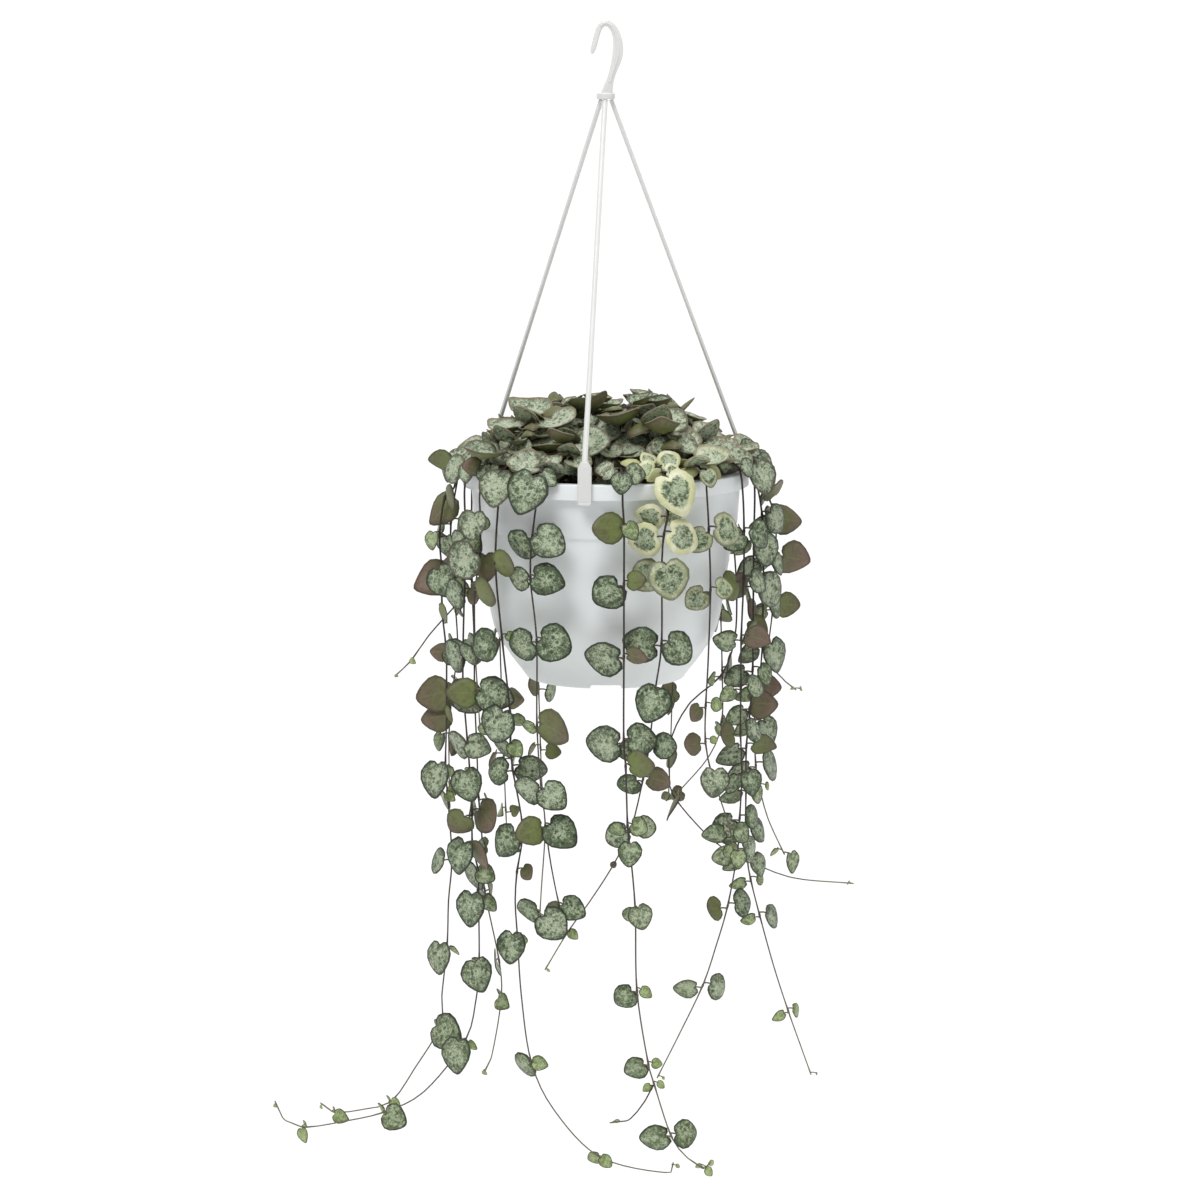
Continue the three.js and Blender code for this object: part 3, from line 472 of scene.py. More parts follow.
# %% [markdown]
# ## The hanger's hook
# The hanger is one light moulding: a flat bar, bent to a hook, that widens into a small disc, from
# which the strands leave. The bar is wide on the hook's shank and narrow at its tip, with soft
# edges. Bending a straight bar with a modifier would hold one width, so a ring of edges is squared
# a little and pushed along the hook's route, and each row of the route gives the width there. A
# narrower ring inside it stands out on both faces as the flange that such hooks have. The route's
# few points are smoothed first with the same curve that the stems use further down.

# %% Smooth routes
def curve_point(nodes, place):
    """Catmull-Rom curve through points: place counts points, so 2.5 is halfway after the third."""
    last = len(nodes) - 1
    start = min(int(math.floor(place)), last - 1)
    share = place - start
    p1, p2 = nodes[start], nodes[start + 1]
    p0 = nodes[start - 1] if start > 0 else 2 * p1 - p2
    p3 = nodes[start + 2] if start + 2 <= last else 2 * p2 - p1
    t0, t1 = 0.5 * (p2 - p0), 0.5 * (p3 - p1)
    c2 = -3 * p1 + 3 * p2 - 2 * t0 - t1
    c3 = 2 * p1 - 2 * p2 + t0 + t1
    return p1 + share * (t0 + share * (c2 + share * c3))


def points_of(nodes):
    return [np.array(node[:3], dtype=float) for node in nodes]


print("halfway between 0 and 2:", curve_point(points_of([(0, 0, 0), (2, 0, 0)]), 0.5)[0])

# %% The hook
HOOK_ROUTE = [(0.5, -34.5, 6.2), (1.2, -31, 5), (2.2, -27.5, 3.9), (3.4, -23.6, 3.7),
              (4.9, -19.2, 4.6), (6.1, -14, 5.4), (6.3, -9.2, 5), (5.3, -4.2, 4.2),
              (3.2, -0.2, 3.6), (0, 1.6, 3.2), (-3, -0.4, 3), (-4.5, -4.4, 2.9),
              (-5.9, -9.4, 2.8), (-7.2, -14, 2.5)]
HOOK_STEPS, BAR_DEPTH, FLANGE_DEPTH, FLANGE_SHARE = 60, 3.0, 3.9, 0.4
FLANGE_PART = slice(8, 46)
DISC = [(0, 37, 0), (4.8, 37, 0.5), (4.8, 34, 0.5), (3.2, 33.7, 0.5), (0, 33.5, 0)]


def hook_bar():
    """A row of the route is (x, z, width) in millimetres."""
    places = np.linspace(0, len(HOOK_ROUTE) - 1, HOOK_STEPS)
    rows = [curve_point(points_of(HOOK_ROUTE), place) for place in places]
    path = [np.array([x, 0, z]) for x, z, _ in rows]
    sizes = [width / 2 for _, _, width in rows]
    for i, share in enumerate((0.45, 0.74, 0.9, 0.98)):
        sizes[-1 - i] *= share
    bm = bmesh.new()
    flats = [min(BAR_DEPTH / 2 / size, 1.05) for size in sizes]
    tube(bm, path, sizes, 20, square=0.6, flat=flats)
    narrow = [size * FLANGE_SHARE for size in sizes[FLANGE_PART]]
    flats = [FLANGE_DEPTH / 2 / size for size in narrow]
    tube(bm, path[FLANGE_PART], narrow, 12, square=0.7, flat=flats)
    turned_disc = bmesh.new()
    turned(turned_disc, DISC, 40)
    disc_mesh = mesh_from(turned_disc, "disc")
    bm.from_mesh(disc_mesh)
    bpy.data.meshes.remove(disc_mesh)
    piece = as_piece(bm, "hook_with_disc", [hanger_plastic_with_painted_shade], ["hanger_hook"])
    piece.data.set_sharp_from_angle(angle=math.radians(40))
    return piece


hook = hook_bar()
print("hook faces:", len(hook.data.polygons))

# %% [markdown]
# ## The three strands
# Each strand is a straight, flat strip that widens into a clip over the rim band: a plate with two
# shoulders outside, and a small foot and lip that hold under the band. The strip is a tube of a
# squared ring. The plate starts as one drawn face that is extruded and bevelled, which keeps its
# shoulders crisp. One strand is built for the front and turned to its place.

# %% Strands
STRANDS = {"front": -8, "right": 112, "left": 232}
# Both ends as (distance from the axis, z), and the clip's heights, in millimetres.
STRAND_TOP, STRAND_END, STRAND_STEPS = (3, -37.4), (76.4, -217), 24
CLIP_TOP, CLIP_BOTTOM, CLIP_INNER, CLIP_THICKNESS = -216, -238, 75.35, 2.2


def box_into(bm, low, high, round_by):
    size = [(b - a) * MM for a, b in zip(low, high)]
    middle = [(a + b) / 2 * MM for a, b in zip(low, high)]
    place = Matrix.Translation(middle) @ Matrix.Diagonal((*size, 1))
    made = bmesh.ops.create_cube(bm, size=1, matrix=place)
    edges = {edge for vert in made["verts"] for edge in vert.link_edges}
    soften(bm, list(edges), round_by, 2)


def strand(side, azimuth):
    bm = bmesh.new()
    shares = [step / STRAND_STEPS for step in range(STRAND_STEPS + 1)]
    path = [np.array([0, -STRAND_TOP[0] - (STRAND_END[0] - STRAND_TOP[0]) * share,
                      STRAND_TOP[1] + (STRAND_END[1] - STRAND_TOP[1]) * share])
            for share in shares]
    widths = [1.28 + 0.12 * math.cos(math.pi * share) ** 2 for share in shares]
    tube(bm, path, widths, 12, square=0.75, flat=0.68)
    outline = [(-3.5, CLIP_BOTTOM), (3.5, CLIP_BOTTOM), (3.5, CLIP_TOP - 3), (1.7, CLIP_TOP),
               (-1.7, CLIP_TOP), (-3.5, CLIP_TOP - 3)]
    verts = [bm.verts.new((x * MM, -CLIP_INNER * MM, z * MM)) for x, z in outline]
    plate = bm.faces.new(verts)
    grown = bmesh.ops.extrude_face_region(bm, geom=[plate])["geom"]
    moved = verts_in(grown)
    bmesh.ops.translate(bm, vec=(0, -CLIP_THICKNESS * MM, 0), verts=moved)
    solid = {face for vert in moved + verts for face in vert.link_faces}
    bmesh.ops.recalc_face_normals(bm, faces=list(solid))
    edges = {edge for face in solid for edge in face.edges}
    soften(bm, list(edges), 0.45)
    box_into(bm, (-3.0, -78.3, CLIP_BOTTOM), (3.0, -76.0, CLIP_BOTTOM + 1.3), 0.35)
    box_into(bm, (-2.6, -76.3, CLIP_BOTTOM), (2.6, -71.4, CLIP_BOTTOM + 1.65), 0.3)
    box_into(bm, (-2.6, -72.9, CLIP_BOTTOM), (2.6, -71.4, CLIP_BOTTOM + 5.8), 0.3)
    bmesh.ops.rotate(bm, cent=(0, 0, 0), matrix=Matrix.Rotation(math.radians(azimuth), 3, "Z"),
                     verts=bm.verts)
    piece = as_piece(bm, "strand_" + side, [hanger_plastic_with_painted_shade], ["hanger_strand_" + side])
    piece.data.set_sharp_from_angle(angle=math.radians(40))
    return piece


strands = [strand(side, azimuth) for side, azimuth in STRANDS.items()]
print("strands:", [piece.name for piece in strands])

# %% [markdown]
# ## Potting soil
# The real mix is dark peat with bark crumbs and a few white grains of perlite. Under the leaves
# only its top shows, but it fills the pot. The block is spun like the pot, its top is raised and
# sunk by noise, and a few hundred small, squashed balls are strewn over it as crumbs, because a
# bump alone leaves a smooth silhouette. The crumbs have few faces, as there are so many.

# %% Soil
SOIL_DEPTH, SOIL_RADIUS, SOIL_CROWN = 12, 67.4, 1.5
CRUMBS, PERLITE_EVERY, CRUMB_SEED = 560, 13, 7


def soil_finish():
    finish = Finish("potting_soil")
    grain = finish.cloud(520, 4, 0.5)
    clods = finish.cells(300)
    mix = finish.ramp(grain * 0.7 + clods * 0.5,
                      (0.28, "#17110d"), (0.5, "#2e231b"), (0.72, "#56432f"))
    finish.wear("Base Color", mix)
    finish.wear("Roughness", 0.82 + grain * 0.16)
    finish.relief(grain, 0.0006)
    return finish.material


def perlite_finish():
    finish = Finish("perlite")
    foam = finish.cloud(1500, 3)
    finish.wear("Base Color", finish.ramp(foam, (0.35, "#b9b3a4"), (0.6, "#e8e4da")))
    finish.wear("Roughness", 0.7 + foam * 0.25)
    finish.relief(foam, 0.0003)
    return finish.material


def draws_from(seed):
    """A stream of numbers from 0 to 1 that is the same on every run."""
    state = seed
    while True:
        state = (state * 1664525 + 1013904223) % 4294967296
        yield state / 4294967296


def soil_block():
    section = [(0, 104.2, 0), (44.5, 104.2, 0), *rounded_wall(WALL + 0.4, range(100, 32, -8)),
               (SOIL_RADIUS, SOIL_DEPTH, 0.6)]
    section += [(r, SOIL_DEPTH - SOIL_CROWN * (1 - r / SOIL_RADIUS), 0)
                for r in range(64, -1, -4)]
    bm = bmesh.new()
    turned(bm, section, 72, RIM_Z)
    top = (RIM_Z - SOIL_DEPTH - 0.4) * MM
    for vert in bm.verts:
        if vert.co.z > top and vert.co.xy.length < 66 * MM:
            vert.co.z += 0.0016 * noise.noise(vert.co * 160) + 0.0009 * noise.noise(vert.co * 420)
    draw = draws_from(CRUMB_SEED)
    for crumb in range(CRUMBS):
        radius, turn = 64 * math.sqrt(next(draw)), 2 * math.pi * next(draw)
        size = 0.6 + 1.5 * next(draw) ** 2
        tilt = Matrix.Rotation(3 * next(draw), 4, "X") @ Matrix.Rotation(3 * next(draw), 4, "Y")
        height = RIM_Z - SOIL_DEPTH + 0.6 + 0.3 * size
        spot = Vector((radius * math.sin(turn), -radius * math.cos(turn), height)) * MM
        shape = Matrix.Diagonal((size * MM, 0.8 * size * MM, 0.6 * size * MM, 1))
        made = bmesh.ops.create_icosphere(bm, subdivisions=1, radius=1,
                                          matrix=Matrix.Translation(spot) @ tilt @ shape)
        if crumb % PERLITE_EVERY == 0:
            for face in {face for vert in made["verts"] for face in vert.link_faces}:
                face.material_index = 1
    return as_piece(bm, "potting_soil_block", [soil_finish(), perlite_finish()], ["soil"])


soil = soil_block()
print("soil faces:", len(soil.data.polygons))

# %% [markdown]
# ## Where the vines run
# Each vine starts in the soil, climbs over the rim and hangs through its nodes, the knots where
# leaves grow. A row is (x, y, z, first leaf, second leaf, turn): the leaves' lengths in
# millimetres, negative where a leaf shows its underside, and the pair's turn about the stem.
# A length of 0 leaves that leaf out, and a row of three numbers is a bare bend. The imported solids
# grow from the same rows by the same rule, so the fine leaves made here fall in the places of the
# plain ones.

# %% Vine rows
VINES = {
    "vine_front_left": {"azimuth": -26, "rim": (17, 0, 200), "over": (20, 0, 110), "nodes": [
        (-37, -74, -254, 17, 17, 5), (-38, -74, -275, 16, 13, 15), (-35, -73, -307, 18, 17, 0),
        (-35, -71, -351, -19, 9, 25), (-33, -70, -385, 15, 15, 30), (-31, -69, -404, 18, -15, 330),
        (-33, -69, -436), (-34, -68, -452, 16, 14, 20)],
        "branches": [
        [(-31, -69, -404), (-28, -66, -426), (-24, -64, -447, 13, -12, 10),
        (-20, -62, -462, 6, 0, 0)]]},
    "vine_left_long": {"azimuth": -43, "rim": (16, 15, 150), "over": (17, 0, 80), "nodes": [
        (-56, -60, -270, -15, 0, 10), (-53, -58, -308, 7, 17, 10), (-49, -56, -348, 18, 10, 100),
        (-49, -56, -364, 9, 12, 30), (-48, -55, -377, 15, 14, 0), (-43, -54, -409, 10, 17, 340),
        (-46, -53, -432, -9, 0, 0), (-47, -52, -448), (-46, -52, -466, 16, 8, 90), (-44, -50, -500),
        (-39, -48, -536, 8, 15, 10), (-27, -46, -563), (-3, -42, -590, 8, 9, 20), (32, -38, -600),
        (36, -36, -595, 3, 0, 0)]},
    "vine_left_short": {"azimuth": -54, "rim": (15, 14, 0), "nodes": [
        (-64, -51, -246, 15, 9, 100), (-64, -52, -266, 18, -14, 95), (-67, -51, -286, -15, 0, 10),
        (-67, -49, -317, -14, 12, 340), (-66, -48, -338, 18, -16, 0), (-65, -48, -356, 9, 0, 0)]},
    "vine_left_far": {"azimuth": -66, "rim": (15, 14, 30), "over": (15, -14, 40), "nodes": [
        (-72, -35, -261, 12, 16, 20), (-73, -35, -288, -12, 16, 0), (-74, -34, -320, -13, 17, 10),
        (-74, -33, -340, 16, 14, 60), (-72, -32, -369, 13, 15, 0), (-71, -31, -384, 17, 9, 60),
        (-70, -30, -406, -18, -14, 0), (-70, -30, -423, 18, -15, 100), (-67, -28, -438, 10, 17, 0),
        (-67, -28, -451, 18, 10, 80), (-67, -26, -488, 17, 13, 60), (-69, -25, -510),
        (-75, -24, -532, 19, 6, 100), (-97, -20, -561), (-118, -18, -573, 14, 8, 20),
        (-140, -16, -579), (-162, -14, -583, 8, 5, 60), (-173, -13, -579),
        (-178, -12, -569, 2, 0, 0)]},
    "vine_left_outer": {"azimuth": -84, "rim": (15, 14, 30), "over": (-16, 14, 40), "nodes": [
        (-84, -9, -242, -14, -17, 0), (-87, -8, -262, 10, 14, 80), (-86, -8, -281, 17, -18, 50),
        (-86, -8, -302, -11, 10, 20), (-84, -8, -324, 13, -10, 0), (-84, -8, -345, 0, -18, 0),
        (-84, -8, -358, -10, -16, 10), (-85, -6, -386, 18, 8, 80), (-84, -6, -402, 6, 13, 0),
        (-82, -6, -436, 5, 13, 350), (-84, -5, -460), (-85, -4, -485, 17, 7, 80), (-88, -3, -512),
        (-89, -2, -530, 18, 13, 60), (-103, -1, -554), (-116, 0, -573, 7, 6, 0), (-131, 1, -578),
        (-147, 2, -580, 9, 4, 20), (-155, 3, -575, 2, 0, 0)]},
    "vine_left_back": {"azimuth": -99, "rim": (15, 14, 30), "over": (14, 14, 40), "nodes": [
        (-82, 13, -258, -14, 13, 0), (-82, 13, -282, 13, -12, 60), (-80, 12, -303, -12, 10, 0),
        (-79, 12, -327, -16, 13, 30), (-82, 13, -350, 14, -13, 0), (-84, 14, -374, 10, -11, 90),
        (-84, 14, -404, 6, 6, 0)],
        "branches": [
        [(-80, 12, -303), (-94, 14, -319), (-104, 14, -333, 4, 3, 0), (-113, 16, -342, 2, 0, 0)]]},
    "vine_left_inner": {"azimuth": -116, "nodes": [
        (-72, 35, -264, 12, 13, 30), (-72, 35, -294, -14, 12, 120), (-71, 35, -326, 13, -12, 20),
        (-71, 34, -354, -13, 12, 90), (-70, 33, -382, 12, 10, 0), (-69, 32, -412, -13, 12, 45),
        (-67, 30, -438, 12, -11, 0), (-66, 28, -462, -14, 12, 10), (-58, 22, -501, -14, 0, 0),
        (-57, 20, -522, 10, 12, 0), (-62, 16, -552), (-66, 14, -561, 3, 0, 0)]},
    "vine_left_rear": {"azimuth": -133, "nodes": [
        (-59, 56, -260, 13, -12, 20), (-59, 57, -292, -14, 12, 70), (-58, 57, -326, 13, 12, 0),
        (-57, 56, -360, -12, 11, 40), (-56, 55, -394, 11, -10, 90), (-55, 54, -424, 8, 8, 0),
        (-54, 53, -448, 5, 5, 30)]},
    "vine_rear_left": {"azimuth": -152, "nodes": [
        (-38, 71, -256, 14, -13, 0), (-39, 72, -290, -13, 12, 50), (-38, 72, -324, 12, 12, 0),
        (-37, 71, -358, 11, -11, 30), (-36, 69, -392, 9, 9, 0), (-35, 67, -418, 5, 5, 0)]},
    "vine_rear_short": {"azimuth": -171, "nodes": [
        (-12, 79, -262, 13, 13, 10), (-13, 80, -296, -13, 12, 60), (-13, 79, -328, 10, 9, 0),
        (-13, 78, -350, 5, 5, 0)]},
    "vine_rear_middle": {"azimuth": 170, "nodes": [
        (14, 79, -252, 14, -13, 20), (13, 81, -284, -13, 13, 0), (13, 80, -316, 12, 11, 60),
        (14, 79, -346, 6, 6, 0)]},
    "vine_rear_right": {"azimuth": 150, "nodes": [
        (40, 70, -262, 13, 13, 0), (39, 71, -296, -14, 12, 40), (38, 70, -330, 12, -12, 0),
        (37, 69, -362, 12, 11, 60), (36, 67, -394, 9, 10, 0), (35, 65, -420, 6, 5, 0)]},
    "vine_right_rear": {"azimuth": 132, "nodes": [
        (60, 54, -254, 13, -13, 10), (62, 55, -284, -14, 12, 50), (63, 55, -314, 13, 13, 0),
        (64, 56, -346, -14, 13, 20), (64, 57, -375, 6, -9, 0), (57, 59, -395),
        (39, 61, -417, 9, 6, 0)]},
    "vine_right_back": {"azimuth": 121, "nodes": [
        (69, 42, -268, 12, -13, 30), (71, 42, -300, 13, -13, 60), (70, 41, -326),
        (63, 42, -346, -17, 8, 0), (46, 44, -362), (36, 46, -382), (35, 46, -402),
        (38, 45, -415, 6, 14, 350), (58, 40, -437), (74, 36, -446, 10, 9, 40), (101, 30, -456),
        (135, 24, -458, 3, 0, 0)]},
    "vine_right_outer": {"azimuth": 97, "rim": (15, 14, 30), "over": (16, 14, 40), "nodes": [
        (85, 10, -242, 15, -13, 0), (90, 12, -258, -16, 12, 0), (90, 12, -278, -17, 10, 10),
        (89, 12, -304, -14, 10, 0), (87, 12, -331), (95, 13, -343), (102, 14, -349, 3, 2, 0)]},
    "vine_right_side": {"azimuth": 88, "rim": (15, 14, 30), "over": (15, -14, 40), "nodes": [
        (82, -3, -252, 15, 12, 80), (83, -2, -276, 13, 14, 30), (83, -2, -300, 13, -13, 0),
        (83, -1, -322, 17, 12, 80), (81, 0, -345, -13, 10, 0), (79, 0, -364, 17, 9, 60),
        (80, 0, -387, 15, 15, 0), (82, 1, -399, 5, 4, 30), (87, 2, -417), (96, 4, -437, 11, 6, 90),
        ]},
    "vine_right_middle": {"azimuth": 76, "rim": (15, 14, 0), "over": (17, 15, 150), "nodes": [
        (77, -19, -263, 17, 10, 80), (77, -19, -287, 17, -12, 60), (77, -19, -308, -11, -13, 0),
        (77, -18, -332, 12, 13, 45), (76, -18, -352, -15, 12, 0), (74, -18, -373, -13, 14, 10),
        (74, -18, -396, 10, 12, 60), (74, -16, -418, 13, 13, 0), (75, -15, -434, 12, 12, 60),
        (77, -14, -446, 8, 8, 20), (82, -12, -466, 13, 8, 0), (90, -10, -495),
        (98, -8, -520, 8, 7, 0), (105, -6, -540), (111, -4, -557, 2, 0, 0)]},
    "vine_right_near": {"azimuth": 62, "rim": (15, 14, 0), "nodes": [
        (71, -38, -256, 15, 13, 30), (71, -38, -281, 13, -14, 10), (70, -37, -312, -13, 12, 0),
        (70, -37, -338, 12, 10, 30), (70, -36, -362, 14, -13, 0), (71, -35, -384, 14, 12, 90),
        (70, -34, -408, 12, 13, 0), (69, -34, -426, 13, 11, 0), (64, -35, -455, 14, -13, 0),
        (58, -37, -476), (51, -39, -497, 13, 12, 0), (39, -42, -522), (27, -44, -546, 2, 0, 0)]},
    "vine_right_front": {"azimuth": 40, "rim": (16, -14, 20), "nodes": [
        (52, -62, -252, 18, 13, 0), (53, -62, -283, 12, 12, 0), (52, -61, -322),
        (51, -60, -343, 8, -9, 0), (51, -59, -362, 5, -11, 0), (54, -58, -378, 15, 6, 90),
        (59, -57, -393), (64, -56, -409, 12, 12, 20), (66, -55, -421, 10, 9, 70)]},
    "vine_front_right": {"azimuth": 22, "rim": (14, 14, 20), "over": (22, 0, 75), "nodes": [
        (31, -79, -242, 17, 13, 20), (29, -80, -252, 17, 17, 0), (28, -78, -268, 19, 18, 60),
        (28, -77, -308, 16, 17, 0), (25, -75, -332, 19, 9, 90), (22, -71, -362, 14, 15, 20),
        (19, -67, -380, -12, 13, 0), (13, -61, -407, 12, 12, 0), (4, -54, -428), (-8, -47, -449),
        (-20, -40, -468, 4, 3, 0), (-32, -34, -490, 2, 0, 0)], "tuber": (4, -54, -428)},
    "vine_front": {"azimuth": 6, "nodes": [
        (9, -80, -248, 9, -16, 60), (9, -81, -277, -10, 17, 20), (9, -80, -314, -10, 18, 30),
        (9, -79, -358, 16, 18, 0), (10, -78, -371, -13, 0, 20), (11, -77, -402, 10, 9, 0),
        (12, -76, -412, 12, 8, 90), (15, -74, -446, 12, 10, 70), (16, -72, -490, 7, 13, 20),
        (22, -70, -530, 6, 13, 20), (25, -69, -541, 5, 5, 0), (34, -66, -570, 15, 15, 0),
        (42, -64, -582), (51, -62, -589, 5, 4, 60), (55, -61, -586, 4, 0, 0)],
        "branches": [
        [(25, -69, -541), (20, -68, -551), (12, -67, -561), (2, -66, -563, 3, 0, 0)]]},
}
print("vines:", len(VINES), "rows:", sum(len(vine["nodes"]) for vine in VINES.values()))

# %% [markdown]
# ## From rows to stems
# A vine's first stretch and the short crown shoots follow a rule rather than a table: the shoots
# arch out of the middle of the soil in three layers and all swirl the same way, so that they pass
# each other. Angles are measured from the front, positive to the right.

# %% Stem rules
CROWN_SHOOTS, CROWN_NODES, CROWN_LEAF = 12, 4, 20.5
CROWN_HEIGHT, CROWN_SWIRL, CROWN_FIRST = 32, 12, -151.5
ROOT_Z, SPROUT_Z = RIM_Z - 23, RIM_Z - 11
NODE_STEP = 1.43
VINE_SEED, CROWN_SEED = 11, 101


def full_rows(rows):
    """Every row with all six numbers."""
    return [(*row, 0, 0, 0)[:6] for row in rows]


def around(azimuth, radius, z):
    turn = math.radians(azimuth)
    return (radius * math.sin(turn), -radius * math.cos(turn), z)


def vine_start(azimuth, rim, over, root):
    """Out of the soil and over the rim, with a pair of leaves on it and one outside it."""
    return [
        around(azimuth, root, ROOT_Z),
        around(azimuth, root, SPROUT_Z),
        around(azimuth, root + 7, RIM_Z + 4),
        (*around(azimuth, RIM_RADIUS - 4, RIM_Z + 8), *rim),
        (*around(azimuth, RIM_RADIUS + 2.6, RIM_Z + 3.4), *over),
        around(azimuth, RIM_RADIUS + 4.6, RIM_Z - 9),
    ]


def crown_shoot(index):
    azimuth = CROWN_FIRST + index * 360 / CROWN_SHOOTS
    layer = index % 3
    root = 12 + 9 * layer
    back = max(0.0, -math.cos(math.radians(azimuth)))
    reach = 58 + 16 * math.sin(math.radians(azimuth)) ** 2 + 6 * back ** 2 - 3 * layer
    height = CROWN_HEIGHT * (1 - 0.3 * layer)
    nodes = [around(azimuth, root, ROOT_Z), around(azimuth, root, SPROUT_Z)]
    for step in range(1, CROWN_NODES + 1):
        share = (step - 0.6) / (CROWN_NODES - 0.6)
        radius = root + (reach - root) * share
        lift = height * (1 - (radius / (reach + 10)) ** 3) + layer
        length = CROWN_LEAF - 2 * (step % 2) + index % 2
        nodes.append((*around(azimuth + CROWN_SWIRL * share, radius, RIM_Z + lift),
                      length, length - 1, 40 * step + 30 * index))
    return nodes


def stem_steps(nodes, longest=34.0):
    """Points of a stem: every node, with more points along a long stretch."""
    rows = points_of(nodes)
    points = [rows[0]]
    for i in range(1, len(rows)):
        parts = math.ceil(float(np.linalg.norm(rows[i] - rows[i - 1])) / longest)
        points += [curve_point(rows, i - 1 + k / parts) for k in range(1, parts + 1)]
    return points


def leaf_foot(nodes, index, side):
    """Where a leaf leaves the stem: the first just above the node, the second just below."""
    points = stem_steps(nodes)
    node = np.array(nodes[index][:3], dtype=float)
    at = next(i for i, p in enumerate(points) if np.linalg.norm(p - node) < 0.001)
    last = at == len(points) - 1
    towards = points[at - 1] if side > 0 or last else points[at + 1]
    step = 2 * NODE_STEP if last and side < 0 else NODE_STEP
    return node + unit(towards - node) * step


def unit(vector):
    return vector / np.linalg.norm(vector)


def blend(*terms):
    return unit(sum(weight * vector for weight, vector in terms))


shoots = {}
for number, (name, vine) in enumerate(VINES.items()):
    seed, bare = VINE_SEED + number, (0, 0, 0)
    root = 44 + 6 * (seed % 3)
    start = vine_start(vine["azimuth"], vine.get("rim", bare), vine.get("over", bare), root)
    runs = [start + vine["nodes"], *vine.get("branches", [])]
    shoots[name] = {"runs": [full_rows(rows) for rows in runs], "seed": seed,
                    "tuber": vine.get("tuber"), "crown": False}
for index in range(CROWN_SHOOTS):
    shoots[f"crown_shoot_{index + 1}"] = {"runs": [full_rows(crown_shoot(index))],
                                          "seed": CROWN_SEED + index, "tuber": None,
                                          "crown": True}
print("shoots:", len(shoots))

# %% [markdown]
# ## How a leaf sits
# A hanging leaf hangs from its stalk with its face to the light, and one on top of the pot spreads
# flat. The direction changes smoothly near the rim. The leaf's frame is worked out in
# double precision, because the test for clear space below must fall out the same way each time.

# %% A leaf's frame
UP = np.array([0.0, 0.0, 1.0])
# Shares of a leaf's length: half its width, and how far its middle lies from its notch.
HALF_WIDTH, LEAF_MIDDLE = 0.53, 0.42


def facing(azimuth):
    size = abs(azimuth)
    turned_by = size * 0.5 if size <= 100 else 50 + (size - 100) * 1.6
    return math.copysign(turned_by, azimuth)


def part_way(value, low, high):
    return min(1.0, max(0.0, (value - low) / (high - low)))


def leaf_frame(at, pair_turn, length, side, draws, twist, front):
    look = math.radians(facing(math.degrees(math.atan2(at[0], -at[1]))))
    out = np.array([math.sin(look), -math.cos(look), 0.0])
    right = np.array([math.cos(look), math.sin(look), 0.0])
    turn = math.radians(pair_turn + twist + (180 if side < 0 else 0) + 24 * (draws[0] - 0.5))
    reach = blend((math.cos(turn), right), (math.sin(turn), out))
    outside = part_way(math.hypot(at[0], at[1]), 70, 76)
    raised = max(0.0, part_way(at[2], RIM_Z - 10, RIM_Z + 4) - 0.9 * outside)
    hang = math.radians(42 + 52 * draws[1])
    under = -1 if length < 0 else 1
    nod = 0.3 * (draws[2] + 0.3) * front
    hanging = blend((0.8 * under, out), (0.3, reach), (nod, UP))
    crowned = blend((1.5 * draws[2] - 0.3, out), (0.8 * draws[1] - 0.4, reach),
                    (0.85 * under, UP))
    normal = blend((1 - raised, hanging), (raised, crowned))
    falls = blend((math.sin(hang), reach), (-math.cos(hang), UP))
    spreads = blend((1, reach), (0.3, out), (-0.2, UP))
    wanted = blend((1 - raised, falls), (raised, spreads))
    along = blend((1, wanted), (-wanted.dot(normal), normal))
    size = abs(length) * (0.95 + 0.12 * draws[3])
    beside = reach * (1.4 + 0.1 * size) + out * (2.5 * front)
    spread_stalk = blend((1, reach), (0.9, along)) * (2.4 + 0.12 * size)
    notch = at + (1 - raised) * beside + raised * spread_stalk
    return {"foot": at, "notch": notch, "along": along, "normal": normal, "length": size,
            "centre": notch + LEAF_MIDDLE * size * along, "radius": HALF_WIDTH * size,
            "raised": raised, "boat": 1 - draws[2]}


print("leaves on the pot's right side face", facing(90), "degrees from the front")

# %% [markdown]
# ## Keeping leaves clear
# Leaves that pass through each other look wrong from every side. Physics could push them apart,
# but a simple rule is enough: treat each leaf as a disc and each stem as a bar, and turn a new
# leaf about its stem, or shrink it, until it crosses nothing. Arrays test one leaf against all
# the others at once.

# %% Clear space
CLEAR_GAP, POT_GAP, STEM_GAP, STRAND_GAP = 1.5, 1.8, 1.8, 3.9
NEARLY_LEVEL = 0.3
TWISTS = (0, 22, -22, 44, -44, 66, -66, 88, -88, 115, -115, 140)
SHRINKS = (1, 0.85, 0.7)


